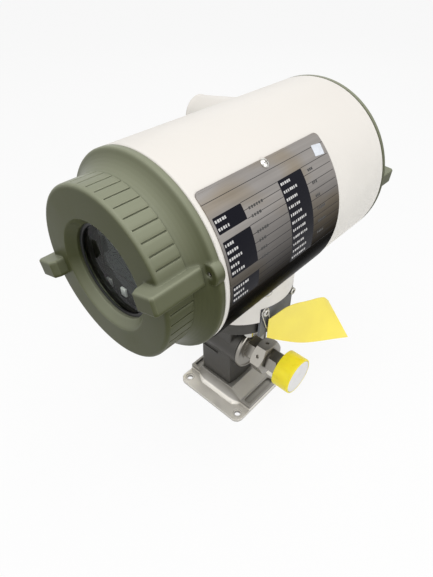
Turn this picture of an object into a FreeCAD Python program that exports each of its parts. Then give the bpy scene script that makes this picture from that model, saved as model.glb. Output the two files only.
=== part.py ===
"""Integral electromagnetic flow meter with a union-joint ceramic sensor.

The row frame is in millimetres: +Z is up, the flow runs along X, the display
faces -Y, and the origin is the centre of the stand's underside.
"""
import FreeCAD, Part
import math
import os

V = FreeCAD.Vector
X_AXIS, Y_AXIS, Z_AXIS = V(1, 0, 0), V(0, 1, 0), V(0, 0, 1)

# ---- driving dimensions -------------------------------------------------
HOUSING_R = 70.0            # outside radius of the converter drum
HOUSING_AXIS_Z = 219.0      # height of the drum's axis
HOUSING_FRONT = -95.0       # the drum's two end faces
HOUSING_REAR = 92.3
HOUSING_WALL = 5.5
THREAD_BORE_R = 60.35       # bore that takes each cover's spigot
THREAD_DEPTH = 15.0
PARTITION_FRONT, PARTITION_REAR = 8.0, 14.0

SPIGOT_R = 60.0             # male thread of each cover
SPIGOT_LENGTH = 13.0
COVER_SEAT_GAP = 0.3
SEAL_GROOVE_R = 57.4
RIM_DEPTH = 4.2             # the cover's rim, before its hollow cone
CONE_SAG = 1.3
GRIP_ROOT_R = 57.7
GRIP_R = 58.9               # grooved drum that the hand turns
GRIP_FRONT = 33.0
DISPLAY_COVER_DEPTH = 35.25
TERMINAL_COVER_DEPTH = 24.5
WINDOW_R = 38.1             # mouth of the window recess
LEDGE_R = 33.0              # clear opening at its bottom
GLASS_R = 36.6
LUG_WIDTH = 12.0
LUG_OUTER_R = 64.3
LUG_INNER_R = 45.5
LUG_RISE = 9.75             # how far a lug stands off the cover's face
LUG_ROOT_R = 56.5
DISPLAY_LUG_ANGLE = 17.0
TERMINAL_LUG_ANGLE = -4.0
TERMINAL_LOCK_ANGLE = -150.0
LOCK_SCREW_AT_R = 66.6      # where the locking screw stands in its boss
LOCK_BOSS_AT_R, LOCK_BOSS_R = 62.8, 9.5
LOCK_BOSS_HALF_WIDTH, LOCK_BOSS_LENGTH = 6.6, 6.6
FIRST_GROOVE = 13.5         # degrees from a lug's middle
GROOVE_STEP = 7.65
GROOVES_PER_SIDE = 21
GROOVE_HALF_WIDTH, GROOVE_DEPTH = 0.45, 0.9

PLATE_TOP_ANGLE = 53.2      # nameplate, as angles round the drum
PLATE_BOTTOM_ANGLE = -39.0
PLATE_FRONT, PLATE_REAR = -91.4, 25.1
PLATE_THICKNESS = 0.8

NECK_R = 49.3
NECK_BOTTOM = 129.8
NECK_CEILING = 145.4
SKIRT_WALL = 4.7
NOTCH_HALF_WIDTH = 22.3
SIDE_PLATE_THICKNESS = 2.4
SIDE_SCREW_Y, SIDE_SCREW_Z = 18.3, 140.9
SIDE_SCREW_HEAD_R = 3.4

CONDUIT_Y = 47.0
CONDUIT_RISE = 33.0         # each conduit axis above or below the drum's axis
CONDUIT_END_X = -90.0
CONDUIT_BORE_R = 9.5
CONDUIT_BOSS_R = 15.5

TUBE_Z = 67.0               # height of the flow axis
TUBE_X = -8.2               # middle of the measuring tube
BODY_HALF_X = 18.7
BODY_HALF_Y = 19.0
BODY_BULGE = 1.7            # how far the two port sides swell
BODY_COLUMN_TOP = 118.0
BODY_TOP = 145.1
TOP_FLANGE_BOTTOM = 114.0
TOP_FLANGE_R = 44.2
TOP_FLANGE_FLAT = 42.2
PORT_BOSS_R = 21.5
FLOW_BORE_R = 4.0

# the union joint, as distances from the middle of the measuring tube
BOSS_END = 26.5
GASKET_END = 27.5
ADAPTER_DISC_END = 30.9
ADAPTER_HEX_END = 39.0
ADAPTER_END = 47.4
NUT_START, NUT_END = 39.6, 53.2
TAIL_HEX_START, TAIL_HEX_END = 53.8, 65.0
TAIL_END = 80.5
CAP_START, CAP_END = 67.2, 84.2
NUT_FLATS = 31.0
NUT_PHASE, TAIL_PHASE = -5.0, 10.0
NUT_DIMPLE_R, NUT_DIMPLE_DEPTH = 1.7, 2.2
CAP_R = 17.7

STAND_HALF = 40.85
STAND_HOLE_X, STAND_HOLE_Y = 33.7, 32.5
STAND_HOLE_R = 3.0
STAND_TOP = 17.4
STAND_FLANGE = 3.6
STAND_SHOULDER = 10.0
STAND_CORNER_R = 7.5
SPOT_FACE_R = 4.6
STAND_STATIONS = [          # X, half depth of the top, half depth of the foot, height of the top
    (-STAND_HALF, 22.3, 22.8, STAND_SHOULDER),
    (-29.5, 22.3, 22.8, STAND_SHOULDER),
    (-27.5, 21.5, 24.5, STAND_TOP),
    (-19.0, 21.5, 29.0, STAND_TOP),
    (15.4, 21.5, 29.0, STAND_TOP),
    (22.0, 21.9, 28.9, 13.8),
    (28.9, 22.3, 22.8, STAND_SHOULDER),
    (STAND_HALF, 22.3, 22.8, STAND_SHOULDER),
]
TROUGH_NEAR, TROUGH_FAR = 31.0, 38.4    # long recess in each shoulder
TROUGH_HALF_Y, TROUGH_DEPTH = 19.8, 2.2
STAND_RECESS_LEFT, STAND_RECESS_RIGHT = -25.0, 14.5     # hollow under the raised pad
STAND_RECESS_HALF_Y, STAND_RECESS_Z = 17.0, 13.0

BEZEL_FRONT = -107.0        # face of the display behind the window
BEZEL_R = 49.0
KEY_Z = HOUSING_AXIS_Z - 31.5
KEY_X = (-27.0, -11.0, 5.0)
PILLAR_X, PILLAR_Z = 36.0, 28.0

TAG_THICKNESS = 0.6
TAG_STATIONS = [            # upper and lower edge of the hanging tag, from its tied end
    (V(46.6, -13.9, 130.1), V(46.6, -13.9, 108.6)),
    (V(52.2, 5.2, 135.8), V(52.0, -6.0, 103.5)),
    (V(57.0, 30.0, 128.4), V(65.0, 20.0, 88.5)),
    (V(60.6, 50.6, 121.2), V(83.4, 53.2, 81.6)),
    (V(62.4, 57.4, 114.2), V(88.7, 61.5, 80.4)),
]
TIE_WIRE_R = 0.5
TIE_X = 45.7
TIE_LOWER_END = (-12.5, 121.5)    # y and z of the wire loop's lower turn


# ---- helpers ------------------------------------------------------------
def cylinder(radius, start, length, axis=Z_AXIS):
    """Cylinder from the point start along axis."""
    return Part.makeCylinder(radius, length, start, axis)


def box(low, high):
    """Box between two corners."""
    return Part.makeBox(high[0] - low[0], high[1] - low[1], high[2] - low[2], V(*low))


def ring(outer, inner, start, length, axis):
    """Plain ring, washer or sleeve."""
    return cylinder(outer, start, length, axis).cut(cylinder(inner, start, length, axis))


def hexagon(flats, start, length, axis_sign, phase):
    """Hexagonal bar along X, with one corner at phase degrees from +Y."""
    corner_r = flats / math.sqrt(3.0)
    points = []
    for corner in range(7):
        angle = math.radians(phase + 60.0 * corner)
        points.append(start + V(0, corner_r * math.cos(angle), corner_r * math.sin(angle)))
    return Part.Face(Part.makePolygon(points)).extrude(V(axis_sign * length, 0, 0))


def chamfered_hexagon(flats, start, length, axis_sign, phase):
    """Hexagonal bar with its corners turned back to a cone, as on a nut."""
    bar = hexagon(flats, start, length, axis_sign, phase)
    corner_r = flats / math.sqrt(3.0) + 0.2
    flat_r = flats * 0.475
    run = (corner_r - flat_r) * math.tan(math.radians(32.0))
    profile = [(0, 0), (flat_r, 0), (corner_r, run), (corner_r, length - run), (flat_r, length), (0, length)]
    points = [start + V(axis_sign * along, radius, 0) for radius, along in profile]
    turned = Part.Face(Part.makePolygon(points + [points[0]])).revolve(start, X_AXIS, 360)
    return bar.common(turned)


def cover_point(radius, depth, outward):
    """Point of a cover's section, with depth measured outwards from its seat."""
    seat = HOUSING_FRONT if outward < 0 else HOUSING_REAR
    return V(radius, seat + outward * depth, HOUSING_AXIS_Z)


def turned_section(points, outward):
    """Solid of revolution about the drum's axis, from (radius, depth) points."""
    outline = [cover_point(radius, depth, outward) for radius, depth in points]
    face = Part.Face(Part.makePolygon(outline + [outline[0]]))
    return face.revolve(V(0, 0, HOUSING_AXIS_Z), Y_AXIS, 360)


def arc_points(centre, radius, start_deg, end_deg, count):
    """Points of an arc in a (radius, depth) section."""
    points = []
    for step in range(count + 1):
        angle = math.radians(start_deg + (end_deg - start_deg) * step / count)
        points.append((centre[0] + radius * math.cos(angle), centre[1] + radius * math.sin(angle)))
    return points


def hollow_line(start, end, sag, count):
    """Points of a shallow hollow curve between two (radius, depth) points."""
    run_r, run_d = end[0] - start[0], end[1] - start[1]
    length = math.hypot(run_r, run_d)
    bend = ((start[0] + end[0]) / 2.0 - 2.0 * sag * run_d / length,
            (start[1] + end[1]) / 2.0 + 2.0 * sag * run_r / length)
    points = []
    for step in range(count + 1):
        t = step / count
        share = ((1 - t) ** 2, 2 * t * (1 - t), t ** 2)
        points.append((share[0] * start[0] + share[1] * bend[0] + share[2] * end[0],
                       share[0] * start[1] + share[1] * bend[1] + share[2] * end[1]))
    return points


def turn_about_drum(shape, degrees):
    """Copy turned about the drum's axis, from +X towards +Z."""
    turned = shape.copy()
    turned.rotate(V(0, 0, HOUSING_AXIS_Z), Y_AXIS, -degrees)
    return turned


def mirror_port(shape):
    """The same piece at the other end of the measuring tube."""
    return shape.mirror(V(TUBE_X, 0, 0), X_AXIS)


# ---- converter housing --------------------------------------------------
def neck():
    """Round neck with its flare into the drum."""
    profile = [(0, NECK_BOTTOM), (NECK_R - 1.0, NECK_BOTTOM), (NECK_R, NECK_BOTTOM + 1.0),
               (NECK_R, 158.0), (NECK_R + 1.6, 168.0), (NECK_R + 5.0, 176.0), (0, 176.0)]
    points = [V(radius, 0, height) for radius, height in profile]
    return Part.Face(Part.makePolygon(points + [points[0]])).revolve(V(0, 0, 0), Z_AXIS, 360)


def neck_pocket():
    """Space inside the skirt that the sensor's top flange fills, with the side notches."""
    depth = NECK_CEILING - NECK_BOTTOM
    pocket = cylinder(NECK_R - SKIRT_WALL, V(0, 0, NECK_BOTTOM), depth)
    for side in (-1, 1):
        near, far = sorted((side * 38.0, side * 60.0))
        notch = box((near, -NOTCH_HALF_WIDTH, NECK_BOTTOM - 1), (far, NOTCH_HALF_WIDTH, NECK_CEILING))
        pocket = pocket.fuse(notch)
    return pocket


def conduit_boss(rise):
    """Tapered boss of one cable entry."""
    height = HOUSING_AXIS_Z + rise
    root = V(-40, CONDUIT_Y, height)
    taper = Part.makeCone(CONDUIT_BOSS_R + 7.0, CONDUIT_BOSS_R, -40 - CONDUIT_END_X - 4.0, root, V(-1, 0, 0))
    collar = cylinder(CONDUIT_BOSS_R, V(CONDUIT_END_X + 4.0, CONDUIT_Y, height), 4.0, V(-1, 0, 0))
    return taper.fuse(collar)


def converter_housing():
    """White cast drum with its neck, two conduit bosses and two compartments."""
    drum_length = HOUSING_REAR - HOUSING_FRONT
    drum = cylinder(HOUSING_R, V(0, HOUSING_FRONT, HOUSING_AXIS_Z), drum_length, Y_AXIS)
    end_edges = [edge for edge in drum.Edges if edge.Closed]
    drum = drum.makeChamfer(0.8, end_edges)
    shell = drum.fuse(neck()).cut(neck_pocket())
    for rise in (CONDUIT_RISE, -CONDUIT_RISE):
        shell = shell.fuse(conduit_boss(rise))
    inner_r = HOUSING_R - HOUSING_WALL
    front_start = HOUSING_FRONT + THREAD_DEPTH
    rear_end = HOUSING_REAR - THREAD_DEPTH
    hollows = [
        cylinder(THREAD_BORE_R, V(0, HOUSING_FRONT, HOUSING_AXIS_Z), THREAD_DEPTH, Y_AXIS),
        cylinder(inner_r, V(0, front_start, HOUSING_AXIS_Z), PARTITION_FRONT - front_start, Y_AXIS),
        cylinder(inner_r, V(0, PARTITION_REAR, HOUSING_AXIS_Z), rear_end - PARTITION_REAR, Y_AXIS),
        cylinder(THREAD_BORE_R, V(0, rear_end, HOUSING_AXIS_Z), THREAD_DEPTH, Y_AXIS),
        cylinder(9.0, V(0, -20, NECK_CEILING - 1), 30.0),
        cylinder(6.0, V(38, PARTITION_FRONT - 1, HOUSING_AXIS_Z - 30), 8.0, Y_AXIS),
    ]
    for rise in (CONDUIT_RISE, -CONDUIT_RISE):
        mouth = V(CONDUIT_END_X - 1, CONDUIT_Y, HOUSING_AXIS_Z + rise)
        hollows.append(cylinder(CONDUIT_BORE_R, mouth, 50.0, X_AXIS))
    for hollow in hollows:
        shell = shell.cut(hollow)
    for hole_x, hole_y in neck_bolt_places():
        shell = shell.cut(cylinder(2.6, V(hole_x, hole_y, NECK_CEILING - 1), 9.0))
    return shell.removeSplitter()


# ---- covers -------------------------------------------------------------
def cover_outside(drum_start, drum_end, face_depth):
    """Section points shared by both covers: spigot, seat, rim, hollow cone and grip drum."""
    groove_near, groove_far = -2.4, -5.6
    spigot = [(SPIGOT_R, -SPIGOT_LENGTH), (SPIGOT_R, groove_far), (SEAL_GROOVE_R, groove_far),
              (SEAL_GROOVE_R, groove_near), (SPIGOT_R, groove_near)]
    rim = [(SPIGOT_R, COVER_SEAT_GAP), (HOUSING_R, COVER_SEAT_GAP), (HOUSING_R, RIM_DEPTH - 0.8),
           (HOUSING_R - 0.4, RIM_DEPTH)]
    cone = hollow_line((HOUSING_R - 1.0, RIM_DEPTH + 0.5), (GRIP_ROOT_R, drum_start), CONE_SAG, 6)
    grip = [(GRIP_R, drum_start), (GRIP_R, drum_end)]
    nose = arc_points((GRIP_R - 2.4, face_depth - 2.4), 2.4, 0, 90, 4)
    return spigot + rim + cone + grip + nose[1:]


def lug(depth_start, face_depth):
    """Section points of one L-shaped lug, whose foot runs into the cone."""
    top = face_depth + LUG_RISE
    foot = depth_start - 2.8
    return [(LUG_INNER_R, face_depth - 1.0), (LUG_INNER_R, top - 4.0), (LUG_INNER_R + 2.6, top),
            (LUG_OUTER_R - 1.6, top), (LUG_OUTER_R, top - 1.6), (LUG_OUTER_R, depth_start),
            (LUG_OUTER_R - 3.3, foot), (LUG_ROOT_R, foot), (LUG_ROOT_R, face_depth - 1.0)]


def lug_solid(depth_start, face_depth, outward):
    """The lug's solid with softened outer edges."""
    outline = [cover_point(radius, depth, outward) for radius, depth in lug(depth_start, face_depth)]
    bar = Part.Face(Part.makePolygon(outline + [outline[0]])).extrude(V(0, 0, LUG_WIDTH))
    bar.translate(V(0, 0, -LUG_WIDTH / 2.0))
    face = cover_point(0, face_depth, outward).y
    soft_edges = []
    for edge in bar.Edges:
        middle = edge.CenterOfMass
        level = abs(edge.tangentAt(edge.FirstParameter).z) < 0.01
        if level and (middle.x > LUG_OUTER_R - 2.3 or (middle.y - face) * outward > 0.5):
            soft_edges.append(edge)
    return bar.makeFillet(1.2, soft_edges)


def lock_boss(outward):
    """Thick place on the rim that holds the locking screw."""
    start = cover_point(LOCK_BOSS_AT_R, COVER_SEAT_GAP, outward)
    end_y = start.y + outward * LOCK_BOSS_LENGTH
    block = cylinder(LOCK_BOSS_R, start, LOCK_BOSS_LENGTH, V(0, outward, 0))
    low_y, high_y = sorted((start.y, end_y))
    keep = box((LOCK_BOSS_AT_R - 0.3, low_y, HOUSING_AXIS_Z - LOCK_BOSS_HALF_WIDTH),
               (LOCK_BOSS_AT_R + LOCK_BOSS_R, high_y, HOUSING_AXIS_Z + LOCK_BOSS_HALF_WIDTH))
    boss = block.common(keep)
    soft_edges = []
    for edge in boss.Edges:
        along_y = abs(edge.tangentAt(edge.FirstParameter).y) > 0.99
        front_arc = abs(edge.CenterOfMass.y - end_y) < 0.01 and edge.CenterOfMass.x > HOUSING_R
        if along_y or front_arc:
            soft_edges.append(edge)
    return boss.makeFillet(1.0, soft_edges)


def lock_hole(outward):
    """Tapped hole through the locking boss."""
    return cylinder(2.0, cover_point(LOCK_SCREW_AT_R, -1.0, outward), 12.0, V(0, outward, 0))


def grip_groove(angle, drum_start, drum_end, outward):
    """One narrow groove along the grip drum."""
    near, far = cover_point(0, drum_start - 0.6, outward).y, cover_point(0, drum_end - 0.4, outward).y
    tool = box((GRIP_R - GROOVE_DEPTH, min(near, far), HOUSING_AXIS_Z - GROOVE_HALF_WIDTH),
               (GRIP_R + 1.0, max(near, far), HOUSING_AXIS_Z + GROOVE_HALF_WIDTH))
    return turn_about_drum(tool, angle)


def finish_cover(cover, lug_angle, lock_angle, drum_start, face_depth, outward):
    """Add the lugs, locking boss and grip grooves that both covers have."""
    pieces = []
    lug_shape = lug_solid(drum_start - 5.2, face_depth, outward)
    for half_turn in (0.0, 180.0):
        pieces.append(turn_about_drum(lug_shape, lug_angle + half_turn))
    pieces.append(turn_about_drum(lock_boss(outward), lock_angle))
    cover = cover.fuse(pieces)
    tools = [turn_about_drum(lock_hole(outward), lock_angle)]
    for half_turn in (0.0, 180.0):
        for groove in range(GROOVES_PER_SIDE):
            angle = lug_angle + half_turn + FIRST_GROOVE + GROOVE_STEP * groove
            tools.append(grip_groove(angle, drum_start, face_depth - 2.2, outward))
    return cover.cut(tools)


def display_cover():
    """Green cast cover with the window recess."""
    outside = cover_outside(15.0, GRIP_FRONT, DISPLAY_COVER_DEPTH)
    front = [(WINDOW_R, DISPLAY_COVER_DEPTH), (WINDOW_R - 0.6, DISPLAY_COVER_DEPTH - 0.5),
             (LEDGE_R + 0.8, 30.2), (LEDGE_R, 29.4), (LEDGE_R, 27.2)]
    inside = [(37.0, 27.2), (37.0, 17.0), (41.4, 17.0), (41.4, 30.4), (53.2, 30.4), (53.6, 14.0),
              (56.0, 4.0), (56.0, -SPIGOT_LENGTH)]
    cover = turned_section(outside + front + inside, -1)
    return finish_cover(cover, DISPLAY_LUG_ANGLE, DISPLAY_LUG_ANGLE, 15.0, DISPLAY_COVER_DEPTH, -1)


def terminal_cover():
    """Green cast blind cover over the terminals."""
    outside = cover_outside(13.0, TERMINAL_COVER_DEPTH - 2.4, TERMINAL_COVER_DEPTH)
    sunk = TERMINAL_COVER_DEPTH - 2.0
    front = [(44.0, TERMINAL_COVER_DEPTH), (41.0, sunk), (0, sunk)]
    inside = [(0, 17.5), (52.4, 17.5), (53.6, 14.0), (56.0, 4.0), (56.0, -SPIGOT_LENGTH)]
    cover = turned_section(outside + front + inside, 1)
    return finish_cover(cover, TERMINAL_LUG_ANGLE, TERMINAL_LOCK_ANGLE, 13.0, TERMINAL_COVER_DEPTH, 1)


def o_ring(outward):
    """Seal in the groove of a cover's spigot."""
    seat = cover_point(0, -4.0, outward)
    return Part.makeTorus(58.75, 1.05, seat, Y_AXIS)


def lock_screw(angle, outward):
    """Socket set screw in a locking boss."""
    seat = cover_point(LOCK_SCREW_AT_R, COVER_SEAT_GAP + 0.2, outward)
    along = V(0, outward, 0)
    screw = cylinder(1.93, seat, 5.4, along)
    socket = cylinder(1.1, seat + along * 3.4, 2.5, along)
    return turn_about_drum(screw.cut(socket), angle)


def window_parts():
    """Glass disc, black gasket in front of it and the ring that holds both."""
    outward = V(0, -1, 0)
    gasket = ring(GLASS_R, 30.8, cover_point(0, 26.2, -1), 1.0, outward)
    glass = cylinder(GLASS_R, cover_point(0, 20.4, -1), 5.8, outward)
    retainer_start = cover_point(0, 17.4, -1)
    retainer = ring(GLASS_R + 0.3, 31.0, retainer_start, 3.0, outward)
    notches = []
    for turn in (45.0, 135.0, 225.0, 315.0):
        tool = box((33.0, retainer_start.y - 1.2, HOUSING_AXIS_Z - 1.2),
                   (38.0, retainer_start.y + 0.1, HOUSING_AXIS_Z + 1.2))
        notches.append(turn_about_drum(tool, turn))
    return {"window_gasket": gasket, "window_glass": glass, "window_retainer": retainer.cut(notches)}


# ---- display and electronics -------------------------------------------
def pillar_places():
    """Where the four electronics pillars stand."""
    places = []
    for side_x in (-1, 1):
        for side_z in (-1, 1):
            places.append((side_x * PILLAR_X, HOUSING_AXIS_Z + side_z * PILLAR_Z))
    return places


def display_bezel():
    """Round dark panel with an LCD opening and three key holes."""
    panel = cylinder(BEZEL_R, V(0, BEZEL_FRONT, HOUSING_AXIS_Z), 3.0, Y_AXIS)
    lcd = box((-31, BEZEL_FRONT - 1, HOUSING_AXIS_Z - 18.5), (31, BEZEL_FRONT + 4, HOUSING_AXIS_Z + 17.5))
    panel = panel.cut(lcd)
    for key_x in KEY_X:
        low, high = (key_x - 2.9, BEZEL_FRONT - 1, KEY_Z - 3.7), (key_x + 2.9, BEZEL_FRONT + 4, KEY_Z + 3.7)
        panel = panel.cut(box(low, high))
    return panel


def set_key(key_x):
    """Rectangular push key with a retaining skirt behind the bezel."""
    shelf = BEZEL_FRONT + 3.3
    button = box((key_x - 2.5, BEZEL_FRONT - 1.2, KEY_Z - 3.3), (key_x + 2.5, shelf, KEY_Z + 3.3))
    skirt = box((key_x - 3.6, shelf, KEY_Z - 4.4), (key_x + 3.6, shelf + 0.8, KEY_Z + 4.4))
    return button.fuse(skirt).removeSplitter()


def lcd_module():
    """LCD glass that fills the bezel's opening, on its board."""
    back = BEZEL_FRONT + 3.0
    glass = box((-30.8, back - 2.0, HOUSING_AXIS_Z - 18.3), (30.8, back, HOUSING_AXIS_Z + 17.3))
    frame = box((-29, back, HOUSING_AXIS_Z - 20), (29, back + 2.6, HOUSING_AXIS_Z + 20))
    return glass.fuse(frame).removeSplitter()


def round_board(front, thickness, radius):
    """Circuit board with the four pillar holes."""
    board = cylinder(radius, V(0, front, HOUSING_AXIS_Z), thickness, Y_AXIS)
    for place_x, place_z in pillar_places():
        board = board.cut(cylinder(2.65, V(place_x, front - 1, place_z), thickness + 2, Y_AXIS))
    return board


def with_components(board, front, blocks):
    """Board with its tall components fused on as plain blocks."""
    for low_x, low_z, high_x, high_z, height in blocks:
        part_low = (low_x, front - height, HOUSING_AXIS_Z + low_z)
        part_high = (high_x, front, HOUSING_AXIS_Z + high_z)
        board = board.fuse(box(part_low, part_high))
    return board.removeSplitter()


def board_pillars():
    """Four round pillars from the partition to the bezel."""
    front = BEZEL_FRONT + 3.0
    length = PARTITION_FRONT - front
    return [cylinder(2.5, V(place_x, front, place_z), length, Y_AXIS) for place_x, place_z in pillar_places()]


def electronics():
    """Bezel, LCD, boards and pillars of the front compartment."""
    display_board = round_board(BEZEL_FRONT + 5.6, 1.6, 47.0)
    control = with_components(round_board(-74.0, 1.6, 52.0), -74.0,
                              [(-20, -8, 4, 12, 3.0), (12, -22, 28, -8, 5.0), (-26, 22, -4, 36, 8.0)])
    power = with_components(round_board(-34.0, 1.6, 52.0), -34.0,
                            [(-22, -16, 8, 14, 22.0), (14, -18, 26, 18, 14.0), (-18, 24, 18, 38, 10.0)])
    return {
        "display_bezel": display_bezel(), "lcd_module": lcd_module(), "display_board": display_board,
        "control_board": control, "power_board": power, "board_pillars": Part.makeCompound(board_pillars()),
    }


def terminal_parts():
    """Terminal block on the partition with its row of clamp screws."""
    rear = PARTITION_REAR
    low_z = HOUSING_AXIS_Z - 12
    base = box((-42, rear, low_z), (42, rear + 12, low_z + 24))
    step = box((-42, rear + 12, low_z + 12), (42, rear + 18, low_z + 24))
    block = base.fuse(step).removeSplitter()
    screws = []
    for column in range(8):
        screw_x = -36.75 + 10.5 * column
        wire_slot = box((screw_x - 3.6, rear + 8.5, low_z + 2.0), (screw_x + 3.6, rear + 12.5, low_z + 10.0))
        block = block.cut(wire_slot)
        head = cylinder(2.6, V(screw_x, rear + 8.5, low_z + 6.0), 2.2, Y_AXIS)
        slot = box((screw_x - 2.8, rear + 9.9, low_z + 5.6), (screw_x + 2.8, rear + 10.9, low_z + 6.4))
        screws.append(head.cut(slot))
    earth = cylinder(4.0, V(40, rear, HOUSING_AXIS_Z - 34), 4.0, Y_AXIS)
    earth_slot = box((35, rear + 3.0, HOUSING_AXIS_Z - 34.5), (45, rear + 4.5, HOUSING_AXIS_Z - 33.5))
    return {
        "terminal_block": block,
        "terminal_screws": Part.makeCompound(screws),
        "earth_screw": earth.cut(earth_slot),
    }


# ---- nameplate and side plates ------------------------------------------
def nameplate_screw_angles():
    """Where the nameplate's two screws stand round the drum."""
    return [PLATE_TOP_ANGLE - 2.6, PLATE_BOTTOM_ANGLE + 2.6]


def nameplate():
    """Curved sheet on the drum with rounded corners."""
    length = PLATE_REAR - PLATE_FRONT
    sweep = PLATE_TOP_ANGLE - PLATE_BOTTOM_ANGLE
    outer = cylinder(HOUSING_R + PLATE_THICKNESS, V(0, PLATE_FRONT, HOUSING_AXIS_Z), length, Y_AXIS)
    sheet = outer.cut(cylinder(HOUSING_R + 0.02, V(0, PLATE_FRONT, HOUSING_AXIS_Z), length, Y_AXIS))
    wedge_points = [V(0, PLATE_FRONT, HOUSING_AXIS_Z)]
    steps = 6
    for step in range(steps + 1):
        angle = math.radians(PLATE_BOTTOM_ANGLE + sweep * step / steps)
        wedge_points.append(V(90 * math.cos(angle), PLATE_FRONT, HOUSING_AXIS_Z + 90 * math.sin(angle)))
    wedge = Part.Face(Part.makePolygon(wedge_points + [wedge_points[0]])).extrude(V(0, length, 0))
    sheet = sheet.common(wedge)
    corners = [edge for edge in sheet.Edges if edge.Length < PLATE_THICKNESS + 0.1]
    sheet = sheet.makeFillet(3.5, corners)
    for angle in nameplate_screw_angles():
        hole = cylinder(1.7, V(60, (PLATE_FRONT + PLATE_REAR) / 2.0, HOUSING_AXIS_Z), 20.0, X_AXIS)
        sheet = sheet.cut(turn_about_drum(hole, angle))
    return sheet


def nameplate_screws():
    """Two domed cross-head screws at the nameplate's top and bottom edges."""
    screws = []
    middle = (PLATE_FRONT + PLATE_REAR) / 2.0
    seat = HOUSING_R + PLATE_THICKNESS
    low, high = seat + 1.0, seat + 3.0
    cross = [
        box((low, middle - 1.9, HOUSING_AXIS_Z - 0.35), (high, middle + 1.9, HOUSING_AXIS_Z + 0.35)),
        box((low, middle - 0.35, HOUSING_AXIS_Z - 1.9), (high, middle + 0.35, HOUSING_AXIS_Z + 1.9)),
    ]
    for angle in nameplate_screw_angles():
        dome = Part.makeSphere(4.2, V(seat - 2.2, middle, HOUSING_AXIS_Z))
        dome = dome.common(cylinder(3.3, V(seat, middle, HOUSING_AXIS_Z), 4.0, X_AXIS))
        shank = cylinder(1.6, V(HOUSING_R + 0.03, middle, HOUSING_AXIS_Z), PLATE_THICKNESS, X_AXIS)
        screw = dome.fuse(shank).cut(cross).removeSplitter()
        screws.append(turn_about_drum(screw, angle))
    return Part.makeCompound(screws)


def side_plate(side):
    """Flat grey plate that closes one side notch of the neck."""
    near, far = sorted((side * TOP_FLANGE_FLAT, side * (TOP_FLANGE_FLAT + SIDE_PLATE_THICKNESS)))
    plate = box((near, -21.6, TOP_FLANGE_BOTTOM - 2.0), (far, 21.6, NECK_CEILING - 0.3))
    edges = [edge for edge in plate.Edges if abs(edge.tangentAt(edge.FirstParameter).x) > 0.99]
    plate = plate.makeFillet(1.6, edges)
    for screw_y, screw_z in side_screw_places():
        hole = cylinder(2.2, V(side * 38.0, screw_y, screw_z), 12.0, V(side, 0, 0))
        plate = plate.cut(hole)
    return plate


def side_screw_places():
    """The two screws of a side plate, as (y, z)."""
    return [(-SIDE_SCREW_Y, SIDE_SCREW_Z), (SIDE_SCREW_Y, SIDE_SCREW_Z)]


def side_plate_screws():
    """Cylinder-head screws of both side plates."""
    screws = []
    for side in (-1, 1):
        along = V(side, 0, 0)
        for screw_y, screw_z in side_screw_places():
            seat = V(side * (TOP_FLANGE_FLAT + SIDE_PLATE_THICKNESS), screw_y, screw_z)
            head = cylinder(SIDE_SCREW_HEAD_R, seat, 3.2, along)
            outer = abs(seat.x) + 3.0
            rim = [edge for edge in head.Edges if edge.Closed and abs(edge.CenterOfMass.x) > outer]
            head = head.makeFillet(0.7, rim)
            socket = cylinder(1.6, seat + along * 1.4, 2.5, along)
            shank = cylinder(2.0, seat - along * 8.0, 8.0, along)
            screws.append(head.cut(socket).fuse(shank).removeSplitter())
    return Part.makeCompound(screws)


# ---- sensor -------------------------------------------------------------
def neck_bolt_places():
    """The four bolts between the sensor's top flange and the neck."""
    return [(33.0, 21.0), (33.0, -21.0), (-33.5, 21.0), (-33.5, -21.0)]


def sensor_column():
    """Upright block whose two port sides swell a little."""
    low_x, high_x = TUBE_X - BODY_HALF_X, TUBE_X + BODY_HALF_X
    corners = [V(low_x, -BODY_HALF_Y, STAND_TOP), V(high_x, -BODY_HALF_Y, STAND_TOP),
               V(high_x, BODY_HALF_Y, STAND_TOP), V(low_x, BODY_HALF_Y, STAND_TOP)]
    right = Part.Arc(corners[1], V(high_x + BODY_BULGE, 0, STAND_TOP), corners[2])
    left = Part.Arc(corners[3], V(low_x - BODY_BULGE, 0, STAND_TOP), corners[0])
    plan = Part.Wire([
        Part.makeLine(corners[0], corners[1]),
        right.toShape(),
        Part.makeLine(corners[2], corners[3]),
        left.toShape(),
    ])
    return Part.Face(plan).extrude(V(0, 0, BODY_COLUMN_TOP - STAND_TOP))


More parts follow.
